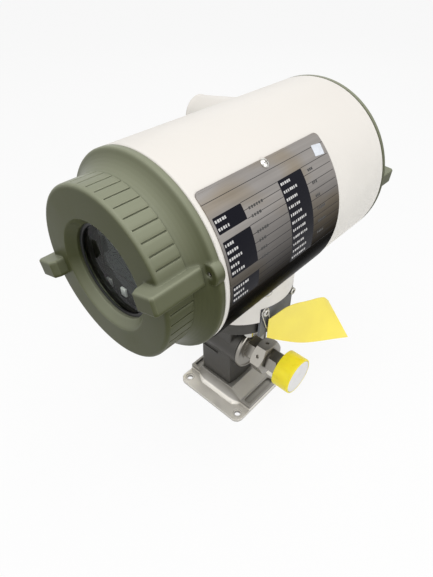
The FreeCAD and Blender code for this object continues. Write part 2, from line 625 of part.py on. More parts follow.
def sensor_body():
    """Cast block round the measuring tube, with its round top flange and port bosses."""
    block = sensor_column()
    upright = [edge for edge in block.Edges if abs(edge.tangentAt(edge.FirstParameter).z) > 0.99]
    block = block.makeFillet(1.6, upright)
    flange = cylinder(TOP_FLANGE_R, V(0, 0, TOP_FLANGE_BOTTOM), BODY_TOP - TOP_FLANGE_BOTTOM)
    flats = box((-TOP_FLANGE_FLAT, -60, 100), (TOP_FLANGE_FLAT, 60, 160))
    boss_length = 2.0 * BOSS_END
    bosses = cylinder(PORT_BOSS_R, V(TUBE_X - BOSS_END, 0, TUBE_Z), boss_length, X_AXIS)
    web = ring(14.5, 12.0, V(TUBE_X - 3, -BODY_HALF_Y - 1.1, TUBE_Z - 8), 1.4, Y_AXIS)
    ridge = box((TUBE_X - BODY_HALF_X + 3, -BODY_HALF_Y - 1.1, 51.5), (TUBE_X + 2, -BODY_HALF_Y + 0.3, 53.5))
    right_half = box((TUBE_X - 3, -BODY_HALF_Y - 2, TUBE_Z - 8), (TUBE_X + 13, -BODY_HALF_Y + 2, TUBE_Z + 8))
    body = block.fuse([flange.common(flats), bosses, web.common(right_half), ridge])
    cavity = box((TUBE_X - 15.0, -15.0, 34.0), (TUBE_X + 15.0, 15.0, 100.0))
    tools = [cavity, cylinder(10.2, V(TUBE_X - 30, 0, TUBE_Z), 60.0, X_AXIS),
             cylinder(5.0, V(TUBE_X, 0, 99.0), 15.0),
             cylinder(30.0, V(0, 0, TOP_FLANGE_BOTTOM + 6.0), 40.0)]
    for bolt_x, bolt_y in neck_bolt_places():
        tools.append(cylinder(3.2, V(bolt_x, bolt_y, TOP_FLANGE_BOTTOM - 1), 40.0))
    for side in (-1, 1):
        for screw_y, screw_z in side_screw_places():
            tools.append(cylinder(2.05, V(side * 33.5, screw_y, screw_z), 12.0, V(side, 0, 0)))
    for bolt_x, bolt_y in stand_bolt_places():
        tools.append(cylinder(2.05, V(bolt_x, bolt_y, STAND_TOP - 1), 12.0))
    return body.cut(tools).removeSplitter()


def neck_bolts():
    """Hexagon-socket bolts up through the top flange into the neck."""
    bolts = []
    for bolt_x, bolt_y in neck_bolt_places():
        head = cylinder(4.6, V(bolt_x, bolt_y, TOP_FLANGE_BOTTOM - 5.0), 5.0)
        socket = cylinder(2.4, V(bolt_x, bolt_y, TOP_FLANGE_BOTTOM - 5.5), 3.0)
        shank = cylinder(2.55, V(bolt_x, bolt_y, TOP_FLANGE_BOTTOM), NECK_CEILING + 7.0 - TOP_FLANGE_BOTTOM)
        bolts.append(head.cut(socket).fuse(shank).removeSplitter())
    return Part.makeCompound(bolts)


def neck_gasket():
    """Flat seal between the top flange and the neck's ceiling."""
    gasket = ring(40.0, 30.0, V(0, 0, BODY_TOP), NECK_CEILING - BODY_TOP, Z_AXIS)
    for bolt_x, bolt_y in neck_bolt_places():
        gasket = gasket.cut(cylinder(3.2, V(bolt_x, bolt_y, BODY_TOP - 1), 3.0))
    return gasket


def magnet_parts():
    """Ceramic tube, its electrodes, two coils and the steel circuit round them."""
    tube = ring(9.6, FLOW_BORE_R, V(TUBE_X - BOSS_END, 0, TUBE_Z), 2.0 * BOSS_END, X_AXIS)
    electrodes, coils = [], {}
    for side in (-1, 1):
        socket = cylinder(1.55, V(TUBE_X, side * FLOW_BORE_R * 0.9, TUBE_Z), 8.0, V(0, side, 0))
        tube = tube.cut(socket)
        pin = cylinder(1.5, V(TUBE_X, side * FLOW_BORE_R, TUBE_Z), 6.2, V(0, side, 0))
        head = cylinder(2.6, V(TUBE_X, side * 9.7, TUBE_Z), 2.4, V(0, side, 0))
        electrodes.append(pin.fuse(head).removeSplitter())
    for name, side in (("upper_coil", 1), ("lower_coil", -1)):
        start = V(TUBE_X, 0, TUBE_Z + side * 11.0)
        coils[name] = ring(13.0, 5.4, start, 14.0, V(0, 0, side))
    yoke = box((TUBE_X - 6, -14.6, TUBE_Z - 29), (TUBE_X + 6, 14.6, TUBE_Z + 29))
    yoke = yoke.cut(box((TUBE_X - 7, -13.4, TUBE_Z - 25.6), (TUBE_X + 7, 13.4, TUBE_Z + 25.6)))
    for side in (-1, 1):
        yoke = yoke.fuse(cylinder(5.0, V(TUBE_X, 0, TUBE_Z + side * 10.2), 16.0, V(0, 0, side)))
    coils.update({
        "measuring_tube": tube,
        "electrodes": Part.makeCompound(electrodes),
        "magnet_yoke": yoke.removeSplitter(),
    })
    return coils


# ---- union joints -------------------------------------------------------
def port_point(distance):
    """Point on the flow axis, at a distance from the tube's middle towards +X."""
    return V(TUBE_X + distance, 0, TUBE_Z)


def port_gasket():
    """Flat ring between the ceramic tube and the adapter."""
    return ring(9.6, FLOW_BORE_R, port_point(BOSS_END), GASKET_END - BOSS_END, X_AXIS)


def union_adapter():
    """Flanged adapter: bright disc, hexagon and male thread."""
    disc_start = port_point(BOSS_END + 0.4)
    disc = cylinder(22.4, disc_start, ADAPTER_DISC_END - BOSS_END - 0.4, X_AXIS)
    rim = [edge for edge in disc.Edges if edge.Closed]
    disc = disc.makeChamfer(0.9, rim)
    recess = ring(20.4, 13.5, port_point(ADAPTER_DISC_END - 0.9), 1.0, X_AXIS)
    seat = cylinder(9.9, port_point(BOSS_END), GASKET_END - BOSS_END, X_AXIS)
    hexagon_start = ADAPTER_DISC_END - 1.0
    hexagon_bar = hexagon(22.0, port_point(hexagon_start), ADAPTER_HEX_END - hexagon_start, 1, 2.0)
    thread = cylinder(12.0, port_point(ADAPTER_HEX_END), ADAPTER_END - ADAPTER_HEX_END, X_AXIS)
    bore = cylinder(FLOW_BORE_R, port_point(BOSS_END), 30.0, X_AXIS)
    return disc.cut(recess).cut(seat).fuse([hexagon_bar, thread]).cut(bore).removeSplitter()


def nut_dimples():
    """Blind pin holes in the middle of the nut's six flats."""
    dimples = []
    for flat in range(6):
        angle = math.radians(NUT_PHASE + 30.0 + 60.0 * flat)
        outward = V(0, math.cos(angle), math.sin(angle))
        start = port_point((NUT_START + NUT_END) / 2.0) + outward * (NUT_FLATS / 2.0 - NUT_DIMPLE_DEPTH)
        dimples.append(cylinder(NUT_DIMPLE_R, start, NUT_DIMPLE_DEPTH + 1.0, outward))
    return dimples


def union_nut():
    """Large hexagon nut that draws the tail piece to the adapter."""
    nut = chamfered_hexagon(NUT_FLATS, port_point(NUT_START), NUT_END - NUT_START, 1, NUT_PHASE)
    thread = cylinder(12.35, port_point(NUT_START - 1), 51.6 - NUT_START + 1, X_AXIS)
    throat = cylinder(9.6, port_point(50.0), 5.0, X_AXIS)
    return nut.cut([thread, throat] + nut_dimples())


def union_tail():
    """Tail piece: collar inside the nut, wrench hexagon and pipe-thread end."""
    collar = cylinder(11.9, port_point(ADAPTER_END + 0.3), 51.3 - ADAPTER_END - 0.3, X_AXIS)
    stem = cylinder(9.2, port_point(51.3), TAIL_HEX_START - 51.3, X_AXIS)
    wrench = chamfered_hexagon(20.0, port_point(TAIL_HEX_START), TAIL_HEX_END - TAIL_HEX_START, 1, TAIL_PHASE)
    spigot = cylinder(10.4, port_point(TAIL_HEX_END), TAIL_END - TAIL_HEX_END, X_AXIS)
    end_x = port_point(TAIL_END).x - 0.1
    spigot_end = [edge for edge in spigot.Edges if edge.Closed and edge.CenterOfMass.x > end_x]
    spigot = spigot.makeChamfer(1.0, spigot_end)
    bore = cylinder(FLOW_BORE_R, port_point(ADAPTER_END), 50.0, X_AXIS)
    return collar.fuse([stem, wrench, spigot]).cut(bore).removeSplitter()


def protective_cap():
    """Yellow cap with a thick wall, a bead at its mouth and a shallow end recess."""
    start = port_point(CAP_START)
    length = CAP_END - CAP_START
    cap = cylinder(CAP_R, start, length, X_AXIS)
    end_edge = [edge for edge in cap.Edges if edge.Closed and edge.CenterOfMass.x > start.x + length - 0.1]
    cap = cap.makeFillet(1.1, end_edge)
    hollow = cylinder(CAP_R - 2.0, start - V(1, 0, 0), length - 1.8, X_AXIS)
    grip = ring(12.9, 10.75, start + V(2.5, 0, 0), length - 4.6, X_AXIS)
    recess = cylinder(CAP_R - 1.6, start + V(length - 0.8, 0, 0), 2.0, X_AXIS)
    return cap.cut(hollow).fuse(grip).cut(recess).removeSplitter()


def cap_disc():
    """White disc in the cap's end."""
    return cylinder(CAP_R - 1.75, port_point(CAP_END - 0.8), 0.7, X_AXIS)


# ---- stand --------------------------------------------------------------
def stand_bolt_places():
    """The two bolts from under the stand into the sensor block."""
    return [(TUBE_X, -14.0), (TUBE_X, 14.0)]


def stand_section(place_x, edge_y, foot_y, top_z):
    """Closed wire of the stand's front-to-back section at one X."""
    toe, toe_top = V(place_x, -STAND_HALF, 0), V(place_x, -STAND_HALF, STAND_FLANGE)
    foot, edge = V(place_x, -foot_y, STAND_FLANGE), V(place_x, -edge_y, top_z)
    hollow = V(place_x, -edge_y - (foot_y - edge_y) * 0.30, STAND_FLANGE + (top_z - STAND_FLANGE) * 0.34)

    def behind(point):
        return V(point.x, -point.y, point.z)

    return Part.Wire([
        Part.makeLine(toe, toe_top),
        Part.makeLine(toe_top, foot),
        Part.Arc(foot, hollow, edge).toShape(),
        Part.makeLine(edge, behind(edge)),
        Part.Arc(behind(edge), behind(hollow), behind(foot)).toShape(),
        Part.makeLine(behind(foot), behind(toe_top)),
        Part.makeLine(behind(toe_top), behind(toe)),
        Part.makeLine(behind(toe), toe),
    ])


def shoulder_trough(side):
    """Tool for the long recess with round corners in one shoulder of the stand."""
    near, far = sorted((side * TROUGH_NEAR, side * TROUGH_FAR))
    floor = STAND_SHOULDER - TROUGH_DEPTH
    tool = box((near, -TROUGH_HALF_Y, floor), (far, TROUGH_HALF_Y, STAND_TOP + 5.0))
    upright = [edge for edge in tool.Edges if abs(edge.tangentAt(edge.FirstParameter).z) > 0.99]
    return tool.makeFillet(2.0, upright)


def stand():
    """Cast stainless stand: raised pad, two recessed shoulders, hollow front and back, four holes."""
    spans = []
    for start, end in zip(STAND_STATIONS, STAND_STATIONS[1:]):
        spans.append(Part.makeLoft([stand_section(*start), stand_section(*end)], True, True))
    pad = spans[0].fuse(spans[1:]).removeSplitter()
    outline = box((-STAND_HALF, -STAND_HALF, -1), (STAND_HALF, STAND_HALF, 40))
    corners = [edge for edge in outline.Edges if abs(edge.tangentAt(edge.FirstParameter).z) > 0.99]
    pad = pad.common(outline.makeFillet(STAND_CORNER_R, corners))
    recess = box((STAND_RECESS_LEFT, -STAND_RECESS_HALF_Y, -1),
                 (STAND_RECESS_RIGHT, STAND_RECESS_HALF_Y, STAND_RECESS_Z))
    tools = [recess, shoulder_trough(-1), shoulder_trough(1)]
    for side_x in (-1, 1):
        for side_y in (-1, 1):
            place = V(side_x * STAND_HOLE_X, side_y * STAND_HOLE_Y, 0)
            tools.append(cylinder(STAND_HOLE_R, place - V(0, 0, 1), 20.0))
            tools.append(cylinder(SPOT_FACE_R, place + V(0, 0, STAND_FLANGE - 0.4), 20.0))
    for bolt_x, bolt_y in stand_bolt_places():
        tools.append(cylinder(2.3, V(bolt_x, bolt_y, 5), 20.0))
    return pad.cut(tools).removeSplitter()


def stand_bolts():
    """Two bolts that hold the sensor block on the stand."""
    bolts = []
    for bolt_x, bolt_y in stand_bolt_places():
        head = cylinder(2.9, V(bolt_x, bolt_y, STAND_RECESS_Z - 3.5), 3.5)
        shank = cylinder(2.0, V(bolt_x, bolt_y, STAND_RECESS_Z), 14.0)
        bolts.append(head.fuse(shank).removeSplitter())
    return Part.makeCompound(bolts)


# ---- tag ----------------------------------------------------------------

def tag():
    """Yellow sheet that hangs beside the neck, in a gentle twist."""
    sections = []
    for index, (top, bottom) in enumerate(TAG_STATIONS):
        ahead = TAG_STATIONS[min(index + 1, len(TAG_STATIONS) - 1)]
        behind = TAG_STATIONS[max(index - 1, 0)]
        along = (ahead[0] + ahead[1]) - (behind[0] + behind[1])
        normal = along.cross(bottom - top)
        normal.normalize()
        offset = normal * (TAG_THICKNESS / 2.0)
        corners = [top - offset, bottom - offset, bottom + offset, top + offset]
        sections.append(Part.makePolygon(corners + [corners[0]]))
    return Part.makeLoft(sections, True, True)


def belt_path(place_x, upper, upper_r, lower, lower_r):
    """Closed wire round two circles in a plane of constant X, given as (y, z) centres."""
    run_y, run_z = lower[0] - upper[0], lower[1] - upper[1]
    heading = math.atan2(run_z, run_y)
    spread = math.acos((upper_r - lower_r) / math.hypot(run_y, run_z))

    def at(centre, radius, angle):
        return V(place_x, centre[0] + radius * math.cos(angle), centre[1] + radius * math.sin(angle))

    left, right = heading + spread, heading - spread
    upper_ends = at(upper, upper_r, right), at(upper, upper_r, left)
    lower_ends = at(lower, lower_r, left), at(lower, lower_r, right)
    far_side = Part.Arc(upper_ends[0], at(upper, upper_r, heading + math.pi), upper_ends[1])
    near_side = Part.Arc(lower_ends[0], at(lower, lower_r, heading), lower_ends[1])
    return Part.Wire([
        far_side.toShape(),
        Part.makeLine(upper_ends[1], lower_ends[0]),
        near_side.toShape(),
        Part.makeLine(lower_ends[1], upper_ends[0]),
    ])


def tag_tie():
    """Thin wire loop round a side plate screw, down behind the tag's tied end."""
    screw = (-SIDE_SCREW_Y, SIDE_SCREW_Z)
    path = belt_path(TIE_X, screw, SIDE_SCREW_HEAD_R + TIE_WIRE_R + 0.05, TIE_LOWER_END, 2.5)
    start = path.Edges[0].Vertexes[0].Point
    heading = path.Edges[0].tangentAt(path.Edges[0].FirstParameter)
    profile = Part.Wire(Part.makeCircle(TIE_WIRE_R, start, heading))
    return path.makePipeShell([profile], True, False)


# ---- write the pieces ---------------------------------------------------
def build():
    """Every node's shape by name."""
    nodes = {
        "converter_housing": converter_housing(),
        "display_cover": display_cover(),
        "terminal_cover": terminal_cover(),
        "display_cover_o_ring": o_ring(-1),
        "terminal_cover_o_ring": o_ring(1),
        "display_cover_lock_screw": lock_screw(DISPLAY_LUG_ANGLE, -1),
        "terminal_cover_lock_screw": lock_screw(TERMINAL_LOCK_ANGLE, 1),
        "nameplate": nameplate(),
        "nameplate_screws": nameplate_screws(),
        "right_side_plate": side_plate(1),
        "left_side_plate": side_plate(-1),
        "side_plate_screws": side_plate_screws(),
        "sensor_body": sensor_body(),
        "neck_bolts": neck_bolts(),
        "neck_gasket": neck_gasket(),
        "stand": stand(),
        "stand_bolts": stand_bolts(),
        "tag": tag(),
        "tag_tie": tag_tie(),
    }
    nodes.update(window_parts())
    nodes.update(electronics())
    nodes.update(terminal_parts())
    nodes.update(magnet_parts())
    for name, key_x in zip(("left_set_key", "middle_set_key", "right_set_key"), KEY_X):
        nodes[name] = set_key(key_x)
    port = {"port_gasket": port_gasket(), "union_adapter": union_adapter(), "union_nut": union_nut(),
            "union_tail": union_tail(), "protective_cap": protective_cap(), "cap_disc": cap_disc()}
    for name, shape in port.items():
        nodes["right_" + name] = shape
        nodes["left_" + name] = mirror_port(shape)
    return nodes


def main():
    """Write one STEP file per node and print each one's solids and volume."""
    os.makedirs("parts", exist_ok=True)
    for name, shape in sorted(build().items()):
        shape.exportStep(os.path.join("parts", name + ".step"))
        print(name, "solids", len(shape.Solids), "volume", round(shape.Volume, 1), "valid", shape.isValid())


main()
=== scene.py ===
"""Looks of an integral electromagnetic flow meter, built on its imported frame.

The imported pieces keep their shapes. This script gives each of them a finish and adds what
the frame leaves out: thread ridges, the nameplate's print, and the card tag's smooth sheet.
All lengths are in metres.
"""
import logging
import math
from dataclasses import dataclass
from enum import Enum
from typing import Any, Iterable, Optional, Protocol, Union

import bmesh
import bpy
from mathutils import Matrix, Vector

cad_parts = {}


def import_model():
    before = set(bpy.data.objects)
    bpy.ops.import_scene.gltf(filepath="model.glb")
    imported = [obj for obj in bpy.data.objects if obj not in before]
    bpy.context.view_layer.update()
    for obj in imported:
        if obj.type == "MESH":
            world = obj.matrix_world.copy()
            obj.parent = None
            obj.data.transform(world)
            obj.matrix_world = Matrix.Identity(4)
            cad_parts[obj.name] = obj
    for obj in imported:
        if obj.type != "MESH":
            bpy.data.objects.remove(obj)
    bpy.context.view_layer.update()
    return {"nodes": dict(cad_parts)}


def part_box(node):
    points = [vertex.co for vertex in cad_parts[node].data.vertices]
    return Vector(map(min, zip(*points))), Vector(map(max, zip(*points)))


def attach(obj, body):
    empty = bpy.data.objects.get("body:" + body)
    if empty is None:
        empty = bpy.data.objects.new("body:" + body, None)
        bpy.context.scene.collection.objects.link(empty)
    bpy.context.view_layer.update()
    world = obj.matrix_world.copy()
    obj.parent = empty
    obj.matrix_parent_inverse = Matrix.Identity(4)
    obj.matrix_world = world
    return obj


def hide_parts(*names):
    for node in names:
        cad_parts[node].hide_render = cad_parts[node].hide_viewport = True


MM = 0.001
WHITE = (1.0, 1.0, 1.0, 1.0)
Colour = tuple[float, float, float]
Span = tuple[float, float]
Socket = bpy.types.NodeSocket
Value = Union[float, tuple, Socket]
Sockets = dict[str, Socket]

log = logging.getLogger("flow_meter")


# ---------------------------------------------------------------- frame
@dataclass(frozen=True)
class Layout:
    """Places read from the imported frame.

    Attributes:
        drum_z: Height of the converter drum's axis.
        plate_r: Radius of the nameplate's outer face.
        tube: Middle of the measuring tube.
        tag_low: Lowest corner of the tag's box.
        tag_high: Highest corner of the tag's box.
    """

    drum_z: float
    plate_r: float
    tube: Vector
    tag_low: Vector
    tag_high: Vector

    @classmethod
    def from_frame(cls) -> "Layout":
        """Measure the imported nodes.

        Returns:
            The places that the sub-assemblies are built on.
        """
        ring_low, ring_high = corners("display_cover_o_ring")
        cover_low, cover_high = corners("terminal_cover_o_ring")
        plate_low, plate_high = corners("nameplate")
        tube_low, tube_high = corners("measuring_tube")
        tag_low, tag_high = corners("tag")
        drum_z = (ring_low.z + ring_high.z + cover_low.z + cover_high.z) / 4.0
        return cls(
            drum_z=drum_z,
            plate_r=plate_high.x,
            tube=(tube_low + tube_high) / 2.0,
            tag_low=tag_low,
            tag_high=tag_high,
        )


def corners(node: str) -> tuple[Vector, Vector]:
    """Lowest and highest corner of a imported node."""
    low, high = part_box(node)
    return Vector(low), Vector(high)


# ---------------------------------------------------------------- node trees
class Tree:
    """A node tree under construction."""

    def __init__(self, tree: bpy.types.NodeTree) -> None:
        """Keep the tree that the nodes are added to."""
        self.tree = tree

    def node(self, kind: str, inputs: Optional[dict] = None, **settings: Any) -> bpy.types.Node:
        """Add a node.

        Args:
            kind: The node's type name.
            inputs: Socket names or numbers, with a value or another node's output for each.
            settings: Properties set on the node itself.

        Returns:
            The new node.
        """
        made = self.tree.nodes.new(kind)
        for name, value in settings.items():
            setattr(made, name, value)
        for key, value in (inputs or {}).items():
            self.feed(made.inputs[key], value)
        return made

    def feed(self, socket: Socket, value: Value) -> None:
        """Give a socket a value, or join another socket to it.

        Args:
            socket: The input to fill.
            value: A plain value or another node's output.
        """
        if isinstance(value, Socket):
            self.tree.links.new(value, socket)
        else:
            socket.default_value = value

    def math(self, operation: str, *values: Value) -> Socket:
        """Add a Math node.

        Args:
            operation: The operation's name.
            values: Up to three numbers or outputs.

        Returns:
            The node's output.
        """
        return self.node("ShaderNodeMath", dict(enumerate(values)), operation=operation).outputs[0]

    def mix(self, factor: Value, first: Value, second: Value, blend: str = "MIX") -> Socket:
        """Mix two colours.

        Args:
            factor: Share of the second colour.
            first: Colour at 0.
            second: Colour at 1.
            blend: Blend mode.

        Returns:
            The mixed colour.
        """
        made = self.node("ShaderNodeMix", data_type="RGBA", blend_type=blend)
        for key, value in (("Factor", factor), ("A", first), ("B", second)):
            wanted = "VALUE" if key == "Factor" else "RGBA"
            socket = next(s for s in made.inputs if s.name == key and s.type == wanted)
            self.feed(socket, value)
        return next(s for s in made.outputs if s.type == "RGBA")

    def remap(self, value: Value, low: float, high: float, to_low: float, to_high: float) -> Socket:
        """Scale a value from one span to another, kept inside it."""
        spans = {"From Min": low, "From Max": high, "To Min": to_low, "To Max": to_high}
        return self.node("ShaderNodeMapRange", {"Value": value, **spans}).outputs["Result"]

    def share(self, value: Value, part: float) -> Socket:
        """Part of a value."""
        return self.math("MULTIPLY", value, part)

    def height_of(self, vector: Value) -> Socket:
        """The Z part of a vector."""
        return self.node("ShaderNodeSeparateXYZ", {0: vector}).outputs["Z"]

    def noise(self, vector: Value, scale: Value, detail: float = 2.0, roughness: float = 0.5) -> Socket:
        """Add a noise texture and return its value."""
        inputs = {"Vector": vector, "Scale": scale, "Detail": detail, "Roughness": roughness}
        return self.node("ShaderNodeTexNoise", inputs).outputs["Fac"]


class SharedEffect:
    """A surface effect kept as one node group that several finishes use."""

    label = ""
    takes: tuple[tuple[str, str, float], ...] = ()
    gives: tuple[tuple[str, str], ...] = ()

    @classmethod
    def group(cls) -> bpy.types.NodeTree:
        """Build the node group on first use.

        Returns:
            The node group.
        """
        have = bpy.data.node_groups.get(cls.label)
        if have:
            return have
        made = bpy.data.node_groups.new(cls.label, "ShaderNodeTree")
        for name, kind, start in cls.takes:
            socket = made.interface.new_socket(name=name, in_out="INPUT", socket_type=kind)
            if kind == "NodeSocketFloat":
                socket.default_value = start
        for name, kind in cls.gives:
            made.interface.new_socket(name=name, in_out="OUTPUT", socket_type=kind)
        tree = Tree(made)
        taken = tree.node("NodeGroupInput").outputs
        given = tree.node("NodeGroupOutput")
        for name, value in cls.wire(tree, taken).items():
            tree.feed(given.inputs[name], value)
        return made

    @classmethod
    def wire(cls, tree: Tree, taken: Any) -> Sockets:
        """Build the inside of the group.

        Args:
            tree: The group's tree.
            taken: The group's input sockets.

        Returns:
            The value for each output.
        """
        raise NotImplementedError

    @classmethod
    def place(cls, tree: Tree, **values: Value) -> bpy.types.Node:
        """Put the group in a tree with its own values.

        Args:
            tree: The tree that uses the effect.
            values: Input values, with underscores for the spaces in their names.

        Returns:
            The group node.
        """
        made = tree.node("ShaderNodeGroup", node_tree=cls.group())
        for name, value in values.items():
            tree.feed(made.inputs[name.replace("_", " ")], value)
        return made


class CastGrain(SharedEffect):
    """Fine pebble of a blasted or powder-coated casting, over a slow unevenness."""

    label = "cast_grain"
    takes = (
        ("Vector", "NodeSocketVector", 0.0),
        ("Grain", "NodeSocketFloat", 1500.0),
        ("Slow", "NodeSocketFloat", 60.0),
    )
    gives = (("Height", "NodeSocketFloat"), ("Mottle", "NodeSocketFloat"))

    @classmethod
    def wire(cls, tree: Tree, taken: Any) -> Sockets:
        """Join a fine and a slow noise.

        Args:
            tree: The group's tree.
            taken: The group's input sockets.

        Returns:
            The value for each output.
        """
        fine = tree.noise(taken["Vector"], taken["Grain"], detail=3.0, roughness=0.6)
        slow = tree.noise(taken["Vector"], taken["Slow"], detail=4.0, roughness=0.55)
        height = tree.math("MULTIPLY_ADD", slow, 0.5, fine)
        return {"Height": height, "Mottle": tree.remap(slow, 0.3, 0.7, 0.0, 1.0)}


class SoftEdge(SharedEffect):
    """Rounded look of an edge, with a mask that is 1 along it."""

    label = "soft_edge"
    takes = (("Radius", "NodeSocketFloat", 0.0005),)
    gives = (("Normal", "NodeSocketVector"), ("Edge", "NodeSocketFloat"))

    @classmethod
    def wire(cls, tree: Tree, taken: Any) -> Sockets:
        """Compare the rounded normal with the true one.

        Args:
            tree: The group's tree.
            taken: The group's input sockets.

        Returns:
            The value for each output.
        """
        rounded = tree.node("ShaderNodeBevel", {"Radius": taken["Radius"]}, samples=4).outputs["Normal"]
        true = tree.node("ShaderNodeNewGeometry").outputs["Normal"]
        match = tree.node("ShaderNodeVectorMath", {0: rounded, 1: true}, operation="DOT_PRODUCT")
        return {"Normal": rounded, "Edge": tree.remap(match.outputs["Value"], 0.995, 0.85, 0.0, 1.0)}


class Crevice(SharedEffect):
    """Mask of sheltered corners, where finishes lay dirt and painted shade."""

    label = "crevice"
    takes = (("Reach", "NodeSocketFloat", 0.006),)
    gives = (("Mask", "NodeSocketFloat"),)

    @classmethod
    def wire(cls, tree: Tree, taken: Any) -> Sockets:
        """Turn open sky into a mask of its opposite.

        Args:
            tree: The group's tree.
            taken: The group's input sockets.

        Returns:
            The value for each output.
        """
        sky = tree.node("ShaderNodeAmbientOcclusion", {"Distance": taken["Reach"]}, samples=6)
        return {"Mask": tree.remap(sky.outputs["AO"], 0.35, 0.95, 1.0, 0.0)}


class UpFacing(SharedEffect):
    """Mask of the faces that look up, which finishes paint paler as painted light from above."""

    label = "up_facing"
    takes = (
        ("Start", "NodeSocketFloat", 0.08),
        ("End", "NodeSocketFloat", 0.85),
        ("Radius", "NodeSocketFloat", 3.5 * MM),
    )
    gives = (("Mask", "NodeSocketFloat"),)

    @classmethod
    def wire(cls, tree: Tree, taken: Any) -> Sockets:
        """Read how far the piece's own smoothed normal points up.

        Args:
            tree: The group's tree.
            taken: The group's input sockets.

        Returns:
            The value for each output.
        """
        smooth = tree.node("ShaderNodeBevel", {"Radius": taken["Radius"]}, samples=8).outputs["Normal"]
        turned = {"vector_type": "NORMAL", "convert_from": "WORLD", "convert_to": "OBJECT"}
        normal = tree.node("ShaderNodeVectorTransform", {"Vector": smooth}, **turned).outputs["Vector"]
        return {"Mask": tree.remap(tree.height_of(normal), taken["Start"], taken["End"], 0.0, 1.0)}


class Streaks(SharedEffect):
    """Fine parallel lines of brushed or turned metal, from a coordinate that runs across them."""

    label = "streaks"
    takes = (("Vector", "NodeSocketVector", 0.0), ("Lines", "NodeSocketFloat", 3000.0))
    gives = (("Streak", "NodeSocketFloat"), ("Height", "NodeSocketFloat"))

    @classmethod
    def wire(cls, tree: Tree, taken: Any) -> Sockets:
        """Mix two line densities.

        Args:
            tree: The group's tree.
            taken: The group's input sockets.

        Returns:
            The value for each output.
        """
        fine = tree.noise(taken["Vector"], taken["Lines"], detail=2.0, roughness=0.7)
        broad = tree.noise(taken["Vector"], tree.math("MULTIPLY", taken["Lines"], 0.13), detail=3.0)
        both = tree.math("MULTIPLY_ADD", broad, 0.6, tree.math("MULTIPLY", fine, 0.4))
        return {"Streak": tree.remap(both, 0.3, 0.7, 0.0, 1.0), "Height": fine}


class PrintedCell(SharedEffect):
    """Mask of one rounded rectangle on a flat layout."""

    label = "printed_cell"
    takes = (
        ("Across", "NodeSocketFloat", 0.0),
        ("Up", "NodeSocketFloat", 0.0),
        ("Middle Across", "NodeSocketFloat", 0.0),
        ("Middle Up", "NodeSocketFloat", 0.0),
        ("Half Width", "NodeSocketFloat", 0.01),
        ("Half Height", "NodeSocketFloat", 0.005),
        ("Corner", "NodeSocketFloat", 0.0005),
    )
    gives = (("Mask", "NodeSocketFloat"),)
    blur = 0.05 * MM

    @classmethod
    def wire(cls, tree: Tree, taken: Any) -> Sockets:
        """Measure the distance outside the rectangle and cut it sharply.

        Args:
            tree: The group's tree.
            taken: The group's input sockets.

        Returns:
            The value for each output.
        """
        beyond = []
        for place, half in (("Across", "Half Width"), ("Up", "Half Height")):
            middle = f"Middle {place}"
            away = tree.math("ABSOLUTE", tree.math("SUBTRACT", taken[place], taken[middle]))
            inner = tree.math("SUBTRACT", taken[half], taken["Corner"])
            beyond.append(tree.math("MAXIMUM", tree.math("SUBTRACT", away, inner), 0.0))
        squares = [tree.math("POWER", side, 2.0) for side in beyond]
        distance = tree.math("SUBTRACT", tree.math("SQRT", tree.math("ADD", *squares)), taken["Corner"])
        return {"Mask": tree.remap(distance, -cls.blur, cls.blur, 1.0, 0.0)}


# ---------------------------------------------------------------- finishes
def rgba(colour: Colour) -> tuple[float, float, float, float]:
    """Colour with an opaque alpha."""
    return (*colour, 1.0)


def scaled(colour: Colour, factor: float) -> tuple[float, float, float, float]:
    """Opaque colour made lighter or darker."""
    return rgba(tuple(min(1.0, part * factor) for part in colour))


def span_of(colour: Colour, factors: Span) -> tuple[tuple, tuple]:
    """Opaque colours at both ends of a span of factors."""
    return scaled(colour, factors[0]), scaled(colour, factors[1])


class Finish(Protocol):
    """Anything that can make one material."""

    name: str

    def make(self) -> bpy.types.Material:
        """Build the material."""


@dataclass(frozen=True)
class EdgeWork:
    """Rounded edges and sheltered corners of one surface.

    Attributes:
        normal: Normal with the edges rounded.
        edge: Mask along the edges.
        shelter: Mask of the sheltered corners.
    """

    normal: Socket
    edge: Socket
    shelter: Socket


